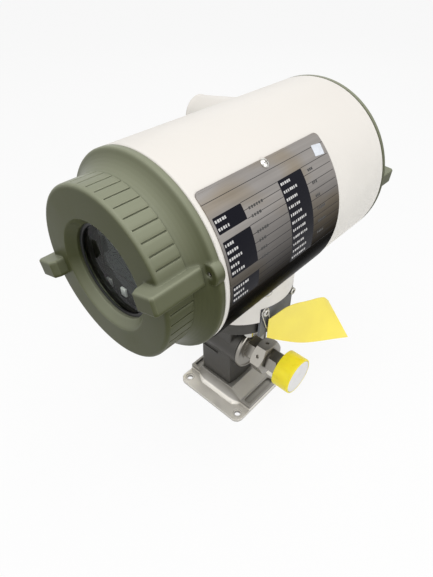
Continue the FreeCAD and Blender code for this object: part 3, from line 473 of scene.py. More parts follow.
class Surface:
    """A material with its Principled shader and object coordinates ready to wire."""

    def __init__(self, name: str, metallic: float = 0.0, roughness: float = 0.5, **plain: Any) -> None:
        """Make the material.

        Args:
            name: Material name.
            metallic: Uniform metallic value.
            roughness: Roughness where nothing is joined.
            plain: Other uniform socket values, with underscores for spaces.
        """
        self.material = bpy.data.materials.new(name)
        self.material.use_nodes = True
        self.tree = Tree(self.material.node_tree)
        self.shader = self.material.node_tree.nodes["Principled BSDF"]
        self.shader.inputs["Metallic"].default_value = metallic
        self.shader.inputs["Roughness"].default_value = roughness
        for key, value in plain.items():
            self.shader.inputs[key.replace("_", " ")].default_value = value
        self.place = self.tree.node("ShaderNodeTexCoord").outputs["Object"]

    def stretched(self, x: float, y: float, z: float) -> Socket:
        """Object coordinates scaled by a factor along each axis."""
        inputs = {"Vector": self.place, "Scale": (x, y, z)}
        return self.tree.node("ShaderNodeMapping", inputs).outputs["Vector"]

    def edges(self, radius: float, reach: float) -> EdgeWork:
        """Add rounded edges and sheltered corners.

        Args:
            radius: Radius that sharp edges look rounded to.
            reach: How far away a wall still shelters a place.

        Returns:
            The normal and both masks.
        """
        soft = SoftEdge.place(self.tree, Radius=radius).outputs
        shelter = Crevice.place(self.tree, Reach=reach).outputs["Mask"]
        return EdgeWork(soft["Normal"], soft["Edge"], shelter)

    def colour(self, value: Value) -> None:
        """Set or join the base colour."""
        self.tree.feed(self.shader.inputs["Base Color"], value)

    def rough(self, value: Value) -> None:
        """Set or join the roughness."""
        self.tree.feed(self.shader.inputs["Roughness"], value)

    def end_with(self, shader: Socket) -> None:
        """Join a shader to the material's output."""
        nodes = self.material.node_tree.nodes
        self.tree.feed(next(n for n in nodes if n.type == "OUTPUT_MATERIAL").inputs["Surface"], shader)

    def rough_between(self, mask: Value, low: float, high: float) -> None:
        """Join a roughness that follows a mask from one end to the other."""
        self.rough(self.tree.remap(mask, 0.0, 1.0, low, high))

    def relief(self, height: Value, depth: float, under: Optional[Socket] = None) -> None:
        """Add a bump.

        Args:
            height: Height mask.
            depth: Height in metres where the mask is 1.
            under: Earlier normal that the bump lies on.
        """
        inputs = {"Height": height, "Strength": 1.0, "Distance": depth}
        bump = self.tree.node("ShaderNodeBump", inputs)
        if under:
            self.tree.feed(bump.inputs["Normal"], under)
        self.tree.feed(self.shader.inputs["Normal"], bump.outputs["Normal"])


@dataclass(frozen=True)
class PowderCoat:
    """Baked powder coat on an aluminium casting.

    Attributes:
        name: Material name.
        tint: Coat colour.
        roughness: Mean roughness.
        grain: Height of the orange peel.
        wear_and_highlight: How much lighter an edge is, as a factor: scuffing and painted highlight.
        grime_and_shade: Colour in sheltered corners: dirt and painted shade.
        gloss: Weight of the clear layer.
        dust_and_painted_light: Colour painted on the faces that look up: painted light from above.
        edge: Radius that sharp edges look rounded to.
        peel: How fine the orange peel is.
        patches: How fine the slow unevenness is.
        reach: How far away a wall still shelters a place.
        uneven: Tint factors of the darkest and the lightest patch.
        wear_and_highlight_share: How strongly edges are lightened.
        grime_and_shade_share: How strongly corners are darkened, with dirt and painted shade.
    """

    name: str
    tint: Colour
    roughness: float
    grain: float
    wear_and_highlight: float
    grime_and_shade: Colour
    gloss: float
    dust_and_painted_light: Colour
    edge: float = 0.9 * MM
    peel: float = 1100.0
    patches: float = 35.0
    reach: float = 5.0 * MM
    uneven: Span = (0.96, 1.03)
    wear_and_highlight_share: float = 0.8
    grime_and_shade_share: float = 0.3

    def make(self) -> bpy.types.Material:
        """Build the material.

        Returns:
            The new material.
        """
        surface = Surface(self.name, roughness=self.roughness, Specular_IOR_Level=0.1,
                          Coat_Weight=self.gloss, Coat_Roughness=0.2, Coat_IOR=1.3)
        tree = surface.tree
        grain = CastGrain.place(tree, Vector=surface.place, Grain=self.peel, Slow=self.patches).outputs
        rim = surface.edges(self.edge, self.reach)
        bare = tree.mix(grain["Mottle"], *span_of(self.tint, self.uneven))
        # Painted light: faces that look up are painted paler, standing in for light from above.
        body = tree.mix(UpFacing.place(tree).outputs["Mask"], bare, rgba(self.dust_and_painted_light))
        # Painted highlight: edges are painted lighter, partly scuffing and partly a stand-in for the
        # highlights that edges catch.
        paler = tree.mix(1.0, body, rgba((self.wear_and_highlight,) * 3), blend="MULTIPLY")
        worn_and_highlit = tree.mix(tree.share(rim.edge, self.wear_and_highlight_share), body, paler)
        # Painted shade: sheltered corners are darkened, partly dirt and partly a stand-in for the shade
        # that falls there.
        surface.colour(tree.mix(tree.share(rim.shelter, self.grime_and_shade_share), worn_and_highlit, rgba(self.grime_and_shade)))
        surface.rough_between(grain["Mottle"], self.roughness - 0.05, self.roughness + 0.06)
        surface.relief(grain["Height"], self.grain, rim.normal)
        return surface.material


@dataclass(frozen=True)
class BlastedCasting:
    """Bead-blasted stainless casting.

    Attributes:
        name: Material name.
        tint: Metal colour.
        roughness: Mean roughness.
        grain: Height of the blasted grain.
        stain_and_shade: Colour in sheltered corners: dirt and painted shade.
        painted_top_light: How much lighter a face that looks up is painted, as a factor: painted light
            from above.
        foot: Height below which the casting is painted lighter.
        foot_painted_light: How much lighter it is painted there, as a factor: painted light on the low
            rim.
        beads: How fine the blasted grain is.
        patches: How fine the slow unevenness is.
        edge: Radius that sharp edges look rounded to.
        reach: How far away a wall still shelters a place.
        uneven: Tint factors of the darkest and the lightest patch.
        rubbed_and_highlight: How much lighter an edge is, as a factor: rubbing and painted highlight.
        rubbed_and_highlight_share: How strongly edges are lightened.
        stain_and_shade_share: How strongly corners are darkened, with dirt and painted shade.
    """

    name: str
    tint: Colour
    roughness: float
    grain: float
    stain_and_shade: Colour
    painted_top_light: float = 1.0
    foot: float = 0.0
    foot_painted_light: float = 3.3
    beads: float = 1700.0
    patches: float = 90.0
    edge: float = 0.8 * MM
    reach: float = 7.0 * MM
    uneven: Span = (0.86, 1.08)
    rubbed_and_highlight: float = 1.7
    rubbed_and_highlight_share: float = 0.7
    stain_and_shade_share: float = 0.75

    def make(self) -> bpy.types.Material:
        """Build the material.

        Returns:
            The new material.
        """
        surface = Surface(self.name, metallic=0.6, roughness=self.roughness, Specular_IOR_Level=0.25)
        tree = surface.tree
        grain = CastGrain.place(tree, Vector=surface.place, Grain=self.beads, Slow=self.patches).outputs
        rim = surface.edges(self.edge, self.reach)
        body = tree.mix(grain["Mottle"], *span_of(self.tint, self.uneven))
        # Painted light: faces that look up are painted lighter, standing in for light from above.
        body = tree.mix(UpFacing.place(tree).outputs["Mask"], body, scaled(self.tint, self.painted_top_light))
        # Painted light: the casting below the foot height is painted lighter, standing in for the light
        # its low rim catches.
        low = tree.remap(tree.height_of(surface.place), self.foot, self.foot + 1.0 * MM, 1.0, 0.0)
        body = tree.mix(low, body, scaled(self.tint, self.foot_painted_light))
        # Painted highlight: edges are painted lighter, partly rubbing and partly a stand-in for edge
        # highlights.
        bright = tree.mix(tree.share(rim.edge, self.rubbed_and_highlight_share), body, scaled(self.tint, self.rubbed_and_highlight))
        # Painted shade: sheltered corners are darkened, partly dirt and partly a stand-in for the shade
        # that falls there.
        surface.colour(tree.mix(tree.share(rim.shelter, self.stain_and_shade_share), bright, rgba(self.stain_and_shade)))
        surface.rough_between(grain["Mottle"], self.roughness - 0.08, self.roughness + 0.10)
        surface.relief(grain["Height"], self.grain, rim.normal)
        return surface.material


class Axis(Enum):
    """Direction that a turned piece was turned about, with the stretch that draws its tool lines."""

    X = (1.0, 0.02, 0.02)
    Y = (0.02, 1.0, 0.02)
    Z = (0.02, 0.02, 1.0)


@dataclass(frozen=True)
class TurnedMetal:
    """Lathe-turned or plated metal with faint tool lines round its axis.

    Attributes:
        name: Material name.
        tint: Metal colour.
        roughness: Mean roughness.
        axis: Axis of the tool lines.
        depth: Height of the tool lines.
        stain_and_shade: Colour in sheltered corners: dirt and painted shade.
        lines: How close the tool lines are.
        edge: Radius that sharp edges look rounded to.
        reach: How far away a wall still shelters a place.
        uneven: Tint factors of the darkest and the lightest line.
        rubbed_and_highlight: How much lighter an edge is, as a factor: rubbing and painted highlight.
        rubbed_and_highlight_share: How strongly edges are lightened.
        stain_and_shade_share: How strongly corners are darkened, with dirt and painted shade.
    """

    name: str
    tint: Colour
    roughness: float
    axis: Axis
    depth: float
    stain_and_shade: Colour
    lines: float = 2600.0
    edge: float = 0.35 * MM
    reach: float = 3.0 * MM
    uneven: Span = (0.88, 1.06)
    rubbed_and_highlight: float = 1.35
    rubbed_and_highlight_share: float = 0.6
    stain_and_shade_share: float = 0.35

    def make(self) -> bpy.types.Material:
        """Build the material.

        Returns:
            The new material.
        """
        surface = Surface(self.name, metallic=1.0, roughness=self.roughness)
        tree = surface.tree
        across = surface.stretched(*self.axis.value)
        turned = Streaks.place(tree, Vector=across, Lines=self.lines).outputs
        rim = surface.edges(self.edge, self.reach)
        body = tree.mix(turned["Streak"], *span_of(self.tint, self.uneven))
        # Painted highlight: edges are painted lighter, partly rubbing and partly a stand-in for edge
        # highlights.
        bright = tree.mix(tree.share(rim.edge, self.rubbed_and_highlight_share), body, scaled(self.tint, self.rubbed_and_highlight))
        # Painted shade: sheltered corners are darkened, partly dirt and partly a stand-in for the shade
        # that falls there.
        surface.colour(tree.mix(tree.share(rim.shelter, self.stain_and_shade_share), bright, rgba(self.stain_and_shade)))
        surface.rough_between(turned["Streak"], self.roughness - 0.06, self.roughness + 0.08)
        surface.relief(turned["Height"], self.depth, rim.normal)
        return surface.material


@dataclass(frozen=True)
class MouldedPlastic:
    """Injection-moulded plastic or rubber with a fine texture.

    Attributes:
        name: Material name.
        tint: Body colour.
        roughness: Mean roughness.
        grain: Height of the mould texture.
        soft: Share of light that scatters inside.
        dust_and_painted_light: Colour in sheltered corners: dirt, and painted shade where it is darker
            than the tint.
        shine: Strength of the surface reflection, 0.5 for plain plastic.
        texture: How fine the mould texture is.
        patches: How fine the slow unevenness is.
        edge: Radius that sharp edges look rounded to.
        reach: How far away a wall still shelters a place.
        uneven: Tint factors of the darkest and the lightest patch.
        dust_and_shade_share: How strongly corners take that colour.
    """

    name: str
    tint: Colour
    roughness: float
    grain: float
    soft: float = 0.0
    dust_and_painted_light: Colour = (0.12, 0.11, 0.10)
    shine: float = 0.5
    texture: float = 2400.0
    patches: float = 120.0
    edge: float = 0.5 * MM
    reach: float = 3.0 * MM
    uneven: Span = (0.94, 1.05)
    dust_and_shade_share: float = 0.3

    def make(self) -> bpy.types.Material:
        """Build the material.

        Returns:
            The new material.
        """
        surface = Surface(self.name, roughness=self.roughness, Specular_IOR_Level=self.shine,
                          Subsurface_Weight=self.soft, Subsurface_Scale=1.5 * MM)
        tree = surface.tree
        sizes = {"Grain": self.texture, "Slow": self.patches}
        grain = CastGrain.place(tree, Vector=surface.place, **sizes).outputs
        rim = surface.edges(self.edge, self.reach)
        body = tree.mix(grain["Mottle"], *span_of(self.tint, self.uneven))
        # Sheltered corners take a dirt colour; where it is darker than the tint it is painted shade.
        surface.colour(tree.mix(tree.share(rim.shelter, self.dust_and_shade_share), body, rgba(self.dust_and_painted_light)))
        surface.rough_between(grain["Mottle"], self.roughness - 0.05, self.roughness + 0.06)
        surface.relief(grain["Height"], self.grain, rim.normal)
        return surface.material


@dataclass(frozen=True)
class WindowGlass:
    """Clear safety glass with a slight green-grey body and faint wipe marks.

    Attributes:
        name: Material name.
        tint: Colour seen through the glass.
        index: Refractive index, low so that the thin pane mirrors little.
        wipes: How fine the wipe marks are.
    """

    name: str
    tint: Colour
    index: float = 1.12
    wipes: float = 60.0

    def make(self) -> bpy.types.Material:
        """Build the material.

        Returns:
            The new material.
        """
        surface = Surface(self.name, roughness=0.01, Transmission_Weight=1.0, IOR=self.index)
        tree = surface.tree
        wipes = tree.noise(surface.stretched(1.0, 1.0, 0.15), self.wipes, detail=3.0)
        surface.colour(tree.mix(wipes, scaled(self.tint, 0.97), rgba(self.tint)))
        surface.rough(tree.remap(wipes, 0.4, 0.75, 0.0, 0.02))
        clear = tree.node("ShaderNodeBsdfTransparent", {"Color": rgba(self.tint)}).outputs[0]
        shadow = tree.node("ShaderNodeLightPath").outputs["Is Shadow Ray"]
        inputs = {0: shadow, 1: surface.shader.outputs[0], 2: clear}
        surface.end_with(tree.node("ShaderNodeMixShader", inputs).outputs[0])
        return surface.material


@dataclass(frozen=True)
class PrintedBoard:
    """Circuit board with a solder mask, faint tracks and tinned pads.

    Attributes:
        name: Material name.
        mask: Solder mask colour.
        track: Colour of the copper under the mask.
        pad: Colour of the tinned pads.
        tracks: How close the tracks are.
        pads: How close the pads are.
    """

    name: str
    mask: Colour
    track: Colour
    pad: Colour
    tracks: float = 260.0
    pads: float = 380.0

    def make(self) -> bpy.types.Material:
        """Build the material.

        Returns:
            The new material.
        """
        surface = Surface(self.name, roughness=0.35, Coat_Weight=0.3)
        tree = surface.tree
        brick = {"Vector": surface.place, "Scale": self.tracks, "Mortar Size": 0.06}
        cells = tree.node("ShaderNodeTexBrick", brick).outputs["Fac"]
        voronoi = {"Vector": surface.place, "Scale": self.pads, "Randomness": 0.35}
        dots = tree.node("ShaderNodeTexVoronoi", voronoi).outputs["Distance"]
        body = tree.mix(cells, rgba(self.mask), rgba(self.track))
        pads = tree.remap(dots, 0.16, 0.2, 1.0, 0.0)
        surface.colour(tree.mix(pads, body, rgba(self.pad)))
        surface.rough_between(pads, 0.38, 0.22)
        surface.relief(cells, 0.03 * MM)
        return surface.material


@dataclass(frozen=True)
class CardSheet:
    """Coated yellow card with a slightly uneven face.

    Attributes:
        name: Material name.
        tint: Card colour.
        fibres: How fine the card's fibres are.
        patches: How fine the slow unevenness is.
    """

    name: str
    tint: Colour
    fibres: float = 1800.0
    patches: float = 45.0

    def make(self) -> bpy.types.Material:
        """Build the material.

        Returns:
            The new material.
        """
        surface = Surface(self.name, roughness=0.42, Coat_Weight=0.15, Coat_Roughness=0.3)
        tree = surface.tree
        sizes = {"Grain": self.fibres, "Slow": self.patches}
        fibre = CastGrain.place(tree, Vector=surface.place, **sizes).outputs
        surface.colour(tree.mix(fibre["Mottle"], *span_of(self.tint, (0.95, 1.02))))
        surface.rough_between(fibre["Mottle"], 0.36, 0.5)
        surface.relief(fibre["Height"], 0.03 * MM)
        return surface.material


@dataclass(frozen=True)
class NameplatePrint:
    """Brushed stainless sheet with dark printed cells and thin ruled lines.

    The layout is flat: across is the distance along the drum's axis, and up is the distance
    round the drum from the level of its axis.

    Attributes:
        name: Material name.
        steel: Metal colour high on the drum.
        shade: Metal colour low on the drum, painted darker there as a painted reflection of darker
            surroundings.
        warm: Colour of the faint warm patches, a painted reflection of the yellow tag.
        ink: Colour of the printed cells and lines.
        radius: Radius that the sheet is bent to.
        axis_z: Height of the drum's axis.
        cells: Each cell's ends across and its lower and upper angle in degrees.
        rules: Each line's ends across and its angle in degrees.
        line: Half the width of a ruled line.
        dark_below: Angle in degrees below which the metal is darkest.
        light_above: Angle in degrees above which it is lightest.
        bend: How far the change between them leans to the dark side.
        brushing: How close the brushed lines are.
        depth: Height of the brushed lines.
        patches: How fine the slow unevenness is.
        warm_reflection: How fine the warm patches of painted reflection are.
        ink_rough: How much rougher the ink is than the metal.
    """

    name: str
    steel: Colour
    shade: Colour
    warm: Colour
    ink: Colour
    radius: float
    axis_z: float
    cells: tuple[tuple[float, float, float, float], ...]
    rules: tuple[tuple[float, float, float], ...]
    line: float = 0.17 * MM
    dark_below: float = -14.0
    light_above: float = 33.0
    bend: float = 1.6
    brushing: float = 2600.0
    depth: float = 0.006 * MM
    patches: float = 22.0
    warm_reflection: float = 38.0
    ink_rough: float = 0.12

    def make(self) -> bpy.types.Material:
        """Build the material.

        Returns:
            The new material.
        """
        surface = Surface(self.name, Specular_IOR_Level=0.12, Specular_Tint=rgba((0.3, 0.3, 0.3)))
        tree = surface.tree
        parts = tree.node("ShaderNodeSeparateXYZ", {0: surface.place}).outputs
        angle = tree.math("ARCTAN2", tree.math("SUBTRACT", parts["Z"], self.axis_z), parts["X"])
        up = tree.math("MULTIPLY", angle, self.radius)
        ink = self.masks(tree, parts["Y"], up)
        along_drum = surface.stretched(1.0, 0.015, 1.0)
        brushed = Streaks.place(tree, Vector=along_drum, Lines=self.brushing).outputs
        slow = tree.noise(surface.stretched(1.0, 0.5, 1.0), self.patches, detail=2.0)
        # Painted reflection: the metal is painted darker towards the bottom of the drum and lighter
        # towards its top.
        rise = tree.remap(angle, math.radians(self.dark_below), math.radians(self.light_above), 0.0, 1.0)
        fall = tree.math("POWER", rise, self.bend)
        # Painted reflection: faint warm patches stand in for the yellow tag mirrored in the plate.
        warm_reflection = tree.noise(surface.stretched(1.0, 0.6, 1.0), self.warm_reflection, detail=1.0)
        steel = tree.mix(tree.remap(warm_reflection, 0.48, 0.68, 0.0, 0.6), rgba(self.steel), rgba(self.warm))
        metal = tree.mix(fall, rgba(self.shade), steel)
        streak = tree.remap(brushed["Streak"], 0.0, 1.0, 0.84, 1.06)
        patch = tree.remap(slow, 0.35, 0.65, 1.0, 0.84)
        level = tree.math("MULTIPLY", streak, patch)
        grey = tree.node("ShaderNodeCombineColor", dict.fromkeys(range(3), level)).outputs["Color"]
        metal = tree.mix(1.0, metal, grey, blend="MULTIPLY")
        surface.colour(tree.mix(ink, metal, rgba(self.ink)))
        tree.feed(surface.shader.inputs["Metallic"], tree.math("SUBTRACT", 1.0, ink))
        shine = tree.remap(brushed["Streak"], 0.0, 1.0, 0.26, 0.38)
        surface.rough(tree.math("MULTIPLY_ADD", ink, self.ink_rough, shine))
        surface.relief(brushed["Height"], self.depth)
        return surface.material

    def masks(self, tree: Tree, across: Value, up: Value) -> Socket:
        """Join the masks of every cell and line.

        Args:
            tree: The material's tree.
            across: Distance along the drum's axis.
            up: Distance round the drum.

        Returns:
            A mask of everything printed.
        """
        total: Value = 0.0
        for start, end, low, high in self.boxes():
            mask = PrintedCell.place(
                tree,
                Across=across,
                Up=up,
                Middle_Across=(start + end) / 2.0,
                Middle_Up=(low + high) / 2.0,
                Half_Width=(end - start) / 2.0,
                Half_Height=(high - low) / 2.0,
                Corner=min(0.6 * MM, (high - low) / 2.2),
            )
            total = tree.math("MAXIMUM", mask.outputs["Mask"], total)
        return total

    def boxes(self) -> list[tuple[float, float, float, float]]:
        """Lay out every cell and line.

        Returns:
            Ends across and lower and upper heights round the drum, one row each.
        """
        found = []
        for start, end, low, high in self.cells:
            found.append((start, end, self.height(low), self.height(high)))
        for start, end, angle in self.rules:
            found.append((start, end, self.height(angle) - self.line, self.height(angle) + self.line))
        return found

    def height(self, degrees: float) -> float:
        """Distance round the drum to an angle."""
        return math.radians(degrees) * self.radius


WHITE_COAT = PowderCoat(
    name="white_powder_coat",
    tint=(0.79, 0.765, 0.715),
    roughness=0.42,
    grain=0.012 * MM,
    wear_and_highlight=1.02,
    grime_and_shade=(0.42, 0.395, 0.345),
    gloss=0.12,
    dust_and_painted_light=(0.80, 0.765, 0.715),
)
GREEN_COAT = PowderCoat(
    name="green_powder_coat",
    tint=(0.064, 0.069, 0.029),
    roughness=0.36,
    grain=0.015 * MM,
    wear_and_highlight=1.7,
    grime_and_shade=(0.03, 0.033, 0.018),
    gloss=0.03,
    dust_and_painted_light=(0.25, 0.262, 0.185),
)
# Painted shade: the sensor casting's tint is kept far darker than the stand's, standing in for the shade
# under the drum.
SENSOR_CAST = BlastedCasting(
    name="blasted_sensor_casting",
    tint=(0.075, 0.072, 0.066),
    roughness=0.4,
    grain=0.02 * MM,
    stain_and_shade=(0.03, 0.028, 0.024),
    painted_top_light=1.2,
)
STAND_CAST = BlastedCasting(
    name="blasted_stand_casting",
    tint=(0.27, 0.26, 0.24),
    roughness=0.46,
    grain=0.02 * MM,
    stain_and_shade=(0.10, 0.095, 0.08),
    painted_top_light=1.5,
    foot=5.6 * MM,
)
NECK_CAST = BlastedCasting(
    name="side_plate_casting",
    tint=(0.15, 0.155, 0.165),
    roughness=0.42,
    grain=0.015 * MM,
    stain_and_shade=(0.05, 0.05, 0.055),
)
TURNED_STEEL = TurnedMetal(
    "turned_stainless", (0.30, 0.285, 0.255), 0.32, Axis.X, 0.010 * MM, (0.20, 0.18, 0.145)
)
PLATED = TurnedMetal("plated_steel", (0.55, 0.54, 0.51), 0.20, Axis.Z, 0.005 * MM, (0.15, 0.13, 0.10))
BRASS = TurnedMetal("turned_brass", (0.78, 0.60, 0.28), 0.28, Axis.Y, 0.008 * MM, (0.20, 0.12, 0.05))
ANODISED = TurnedMetal(
    "black_anodised_ring", (0.06, 0.06, 0.065), 0.38, Axis.Y, 0.01 * MM, (0.01, 0.01, 0.01)
)
WINDING = TurnedMetal("copper_winding", (0.72, 0.34, 0.16), 0.35, Axis.Z, 0.05 * MM, (0.2, 0.08, 0.03))
MAGNET_STEEL = TurnedMetal("magnet_steel", (0.22, 0.22, 0.23), 0.45, Axis.Z, 0.01 * MM, (0.05,) * 3)
RUBBER = MouldedPlastic("black_rubber", (0.014, 0.014, 0.015), 0.48, 0.01 * MM, dust_and_painted_light=(0.03,) * 3)
BEZEL = MouldedPlastic(
    "bezel_plastic", (0.006, 0.008, 0.008), 0.5, 0.0, dust_and_painted_light=(0.004, 0.005, 0.006), shine=0.06
)
KEYS = MouldedPlastic("key_plastic", (0.95, 0.96, 0.92), 0.35, 0.004 * MM, dust_and_painted_light=(0.85, 0.85, 0.82))
LCD = MouldedPlastic("lcd_glass_face", (0.012, 0.016, 0.015), 0.3, 0.0, dust_and_painted_light=(0.01,) * 3, shine=0.06)
TERMINALS = MouldedPlastic("terminal_plastic", (0.035, 0.035, 0.038), 0.5, 0.02 * MM)
CERAMIC = MouldedPlastic("ground_ceramic", (0.86, 0.84, 0.78), 0.3, 0.01 * MM, dust_and_painted_light=(0.5, 0.48, 0.44))
FLUOROPLASTIC = MouldedPlastic(
    "fluoroplastic", (0.82, 0.82, 0.80), 0.42, 0.01 * MM, dust_and_painted_light=(0.4, 0.4, 0.38)
)
YELLOW_CAP = MouldedPlastic(
    "yellow_cap_plastic", (0.97, 0.80, 0.03), 0.3, 0.006 * MM, 0.1, (0.70, 0.54, 0.03), 0.3
)
WHITE_DISC = MouldedPlastic(
    "white_disc_plastic", (0.80, 0.79, 0.78), 0.4, 0.008 * MM, dust_and_painted_light=(0.5, 0.48, 0.45)
)
LIGHT_DASHES = MouldedPlastic("etched_dashes", (0.62, 0.61, 0.60), 0.4, 0.0)
DARK_DASHES = MouldedPlastic("printed_dashes", (0.035, 0.034, 0.033), 0.45, 0.0)
WHITE_LABEL = MouldedPlastic("white_label", (0.72, 0.75, 0.80), 0.5, 0.002 * MM)
GLASS = WindowGlass("window_safety_glass", (0.94, 0.97, 0.95))
BOARD = PrintedBoard("circuit_board", (0.015, 0.10, 0.045), (0.03, 0.16, 0.07), (0.70, 0.70, 0.68))
YELLOW_CARD = CardSheet("yellow_card", (1.0, 0.83, 0.12))

FINISH_OF = {
    "converter_housing": WHITE_COAT,
    "display_cover": GREEN_COAT,
    "terminal_cover": GREEN_COAT,
    "display_cover_o_ring": RUBBER,
    "terminal_cover_o_ring": RUBBER,
    "display_cover_lock_screw": PLATED,
    "terminal_cover_lock_screw": PLATED,
    "nameplate_screws": PLATED,
    "right_side_plate": NECK_CAST,
    "left_side_plate": NECK_CAST,
    "side_plate_screws": PLATED,
    "sensor_body": SENSOR_CAST,
    "neck_bolts": PLATED,
    "neck_gasket": RUBBER,
    "stand": STAND_CAST,
    "stand_bolts": PLATED,
    "tag_tie": PLATED,
    "window_gasket": RUBBER,
    "window_glass": GLASS,
    "window_retainer": ANODISED,
    "display_bezel": BEZEL,
    "lcd_module": LCD,
    "display_board": BOARD,
    "control_board": BOARD,
    "power_board": BOARD,
    "board_pillars": BRASS,
    "terminal_block": TERMINALS,
    "terminal_screws": PLATED,
    "earth_screw": PLATED,
    "measuring_tube": CERAMIC,
    "electrodes": PLATED,
    "magnet_yoke": MAGNET_STEEL,
    "upper_coil": WINDING,
    "lower_coil": WINDING,
    "left_set_key": KEYS,
    "middle_set_key": KEYS,
    "right_set_key": KEYS,
    "port_gasket": FLUOROPLASTIC,
    "union_adapter": TURNED_STEEL,
    "union_nut": TURNED_STEEL,
    "union_tail": TURNED_STEEL,
    "protective_cap": YELLOW_CAP,
    "cap_disc": WHITE_DISC,
}


class Workshop:
    """Keeps each finish's material and puts it on pieces."""

    def __init__(self) -> None:
        """Start with no materials made."""
        self.made: dict[str, bpy.types.Material] = {}

    def material(self, finish: Finish) -> bpy.types.Material:
        """Make a finish's material on first use.

        Args:
            finish: The finish.

        Returns:
            Its material.
        """
        if finish.name not in self.made:
            self.made[finish.name] = finish.make()
        return self.made[finish.name]

    def dress(self, piece: bpy.types.Object, finish: Finish) -> None:
        """Put one finish all over a piece."""
        piece.data.materials.clear()
        piece.data.materials.append(self.material(finish))

    def dress_frame(self, nodes: dict[str, bpy.types.Object], plate: NameplatePrint) -> None:
        """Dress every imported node.

        Args:
            nodes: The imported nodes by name.
            plate: The nameplate's own finish.
        """
        for name, piece in nodes.items():
            key = name if name in FINISH_OF else name.split("_", 1)[-1]
            if name == "nameplate":
                self.dress(piece, plate)
            elif key in FINISH_OF:
                self.dress(piece, FINISH_OF[key])
            smooth_by_angle(piece)
            log.info("dressed %s", name)


def smooth_by_angle(piece: bpy.types.Object, degrees: float = 32.0) -> None:
    """Shade a piece smooth, with its sharp edges kept."""
    piece.data.shade_smooth()
    piece.data.set_sharp_from_angle(angle=math.radians(degrees))


# ---------------------------------------------------------------- geometry trees
class Pattern:
    """A Geometry Nodes tree that makes repeated detail from named inputs."""

    label = ""
    takes: tuple[tuple[str, str], ...] = ()

    def tree(self) -> bpy.types.NodeTree:
        """Build the tree on first use.

        Returns:
            The tree.
        """
        have = bpy.data.node_groups.get(self.label)
        if have:
            return have
        made = bpy.data.node_groups.new(self.label, "GeometryNodeTree")
        made.interface.new_socket(name="Geometry", in_out="INPUT", socket_type="NodeSocketGeometry")
        for name, kind in self.takes:
            made.interface.new_socket(name=name, in_out="INPUT", socket_type=kind)
        made.interface.new_socket(name="Material", in_out="INPUT", socket_type="NodeSocketMaterial")
        made.interface.new_socket(name="Geometry", in_out="OUTPUT", socket_type="NodeSocketGeometry")
        tree = Tree(made)
        taken = tree.node("NodeGroupInput").outputs
        shape = self.wire(tree, taken)
        whole = tree.node("GeometryNodeRealizeInstances", {"Geometry": shape}).outputs["Geometry"]
        inputs = {"Geometry": whole, "Material": taken["Material"]}
        dressed = tree.node("GeometryNodeSetMaterial", inputs).outputs["Geometry"]
        tree.node("NodeGroupOutput", {"Geometry": dressed})
        return made

    def wire(self, tree: Tree, taken: Any) -> Socket:
        """Build the shape from the named inputs.

        Args:
            tree: The pattern's tree.
            taken: The pattern's input sockets.

        Returns:
            The shape.
        """
        raise NotImplementedError

    def build(self, name: str, material: bpy.types.Material, values: dict[str, Any]) -> bpy.types.Object:
        """Run the tree and keep its result as a plain mesh.

        Args:
            name: Name of the new piece.
            material: Material of the new piece.
            values: A value for each named input.

        Returns:
            The finished piece, at the origin.
        """
        holder = link_mesh(name, bpy.data.meshes.new(name))
        modifier = holder.modifiers.new("pattern", "NODES")
        modifier.node_group = self.tree()
        for item in modifier.node_group.interface.items_tree:
            if item.in_out == "INPUT" and item.name in values:
                modifier[item.identifier] = values[item.name]
            elif item.in_out == "INPUT" and item.name == "Material":
                modifier[item.identifier] = material
        bpy.context.view_layer.update()
        graph = bpy.context.evaluated_depsgraph_get()
        mesh = bpy.data.meshes.new_from_object(holder.evaluated_get(graph))
        holder.modifiers.clear()
        holder.data = mesh
        mesh.name = name
        return holder


class ThreadRidge(Pattern):
    """Helical ridge of a screw thread, wound about an axis."""

    label = "thread_ridge"
    takes = (
        ("Radius", "NodeSocketFloat"),
        ("Turns", "NodeSocketFloat"),
        ("Length", "NodeSocketFloat"),
        ("Ridge", "NodeSocketFloat"),
        ("Steps", "NodeSocketInt"),
        ("Start", "NodeSocketVector"),
        ("Turn", "NodeSocketVector"),
    )

    def wire(self, tree: Tree, taken: Any) -> Socket:
        """Sweep a small three-sided profile along a spiral and set it on its axis.

        Args:
            tree: The pattern's tree.
            taken: The pattern's input sockets.

        Returns:
            The shape.
        """
        wound = {"Resolution": taken["Steps"], "Rotations": taken["Turns"], "Height": taken["Length"]}
        radii = {"Start Radius": taken["Radius"], "End Radius": taken["Radius"]}
        spiral = tree.node("GeometryNodeCurveSpiral", {**wound, **radii}).outputs["Curve"]
        three_sided = {"Resolution": 3, "Radius": taken["Ridge"]}
        profile = tree.node("GeometryNodeCurvePrimitiveCircle", three_sided).outputs["Curve"]
        sweep = {"Curve": spiral, "Profile Curve": profile, "Fill Caps": True}
        ridge = tree.node("GeometryNodeCurveToMesh", sweep).outputs["Mesh"]
        place = {"Geometry": ridge, "Translation": taken["Start"], "Rotation": taken["Turn"]}
        return tree.node("GeometryNodeTransform", place).outputs["Geometry"]


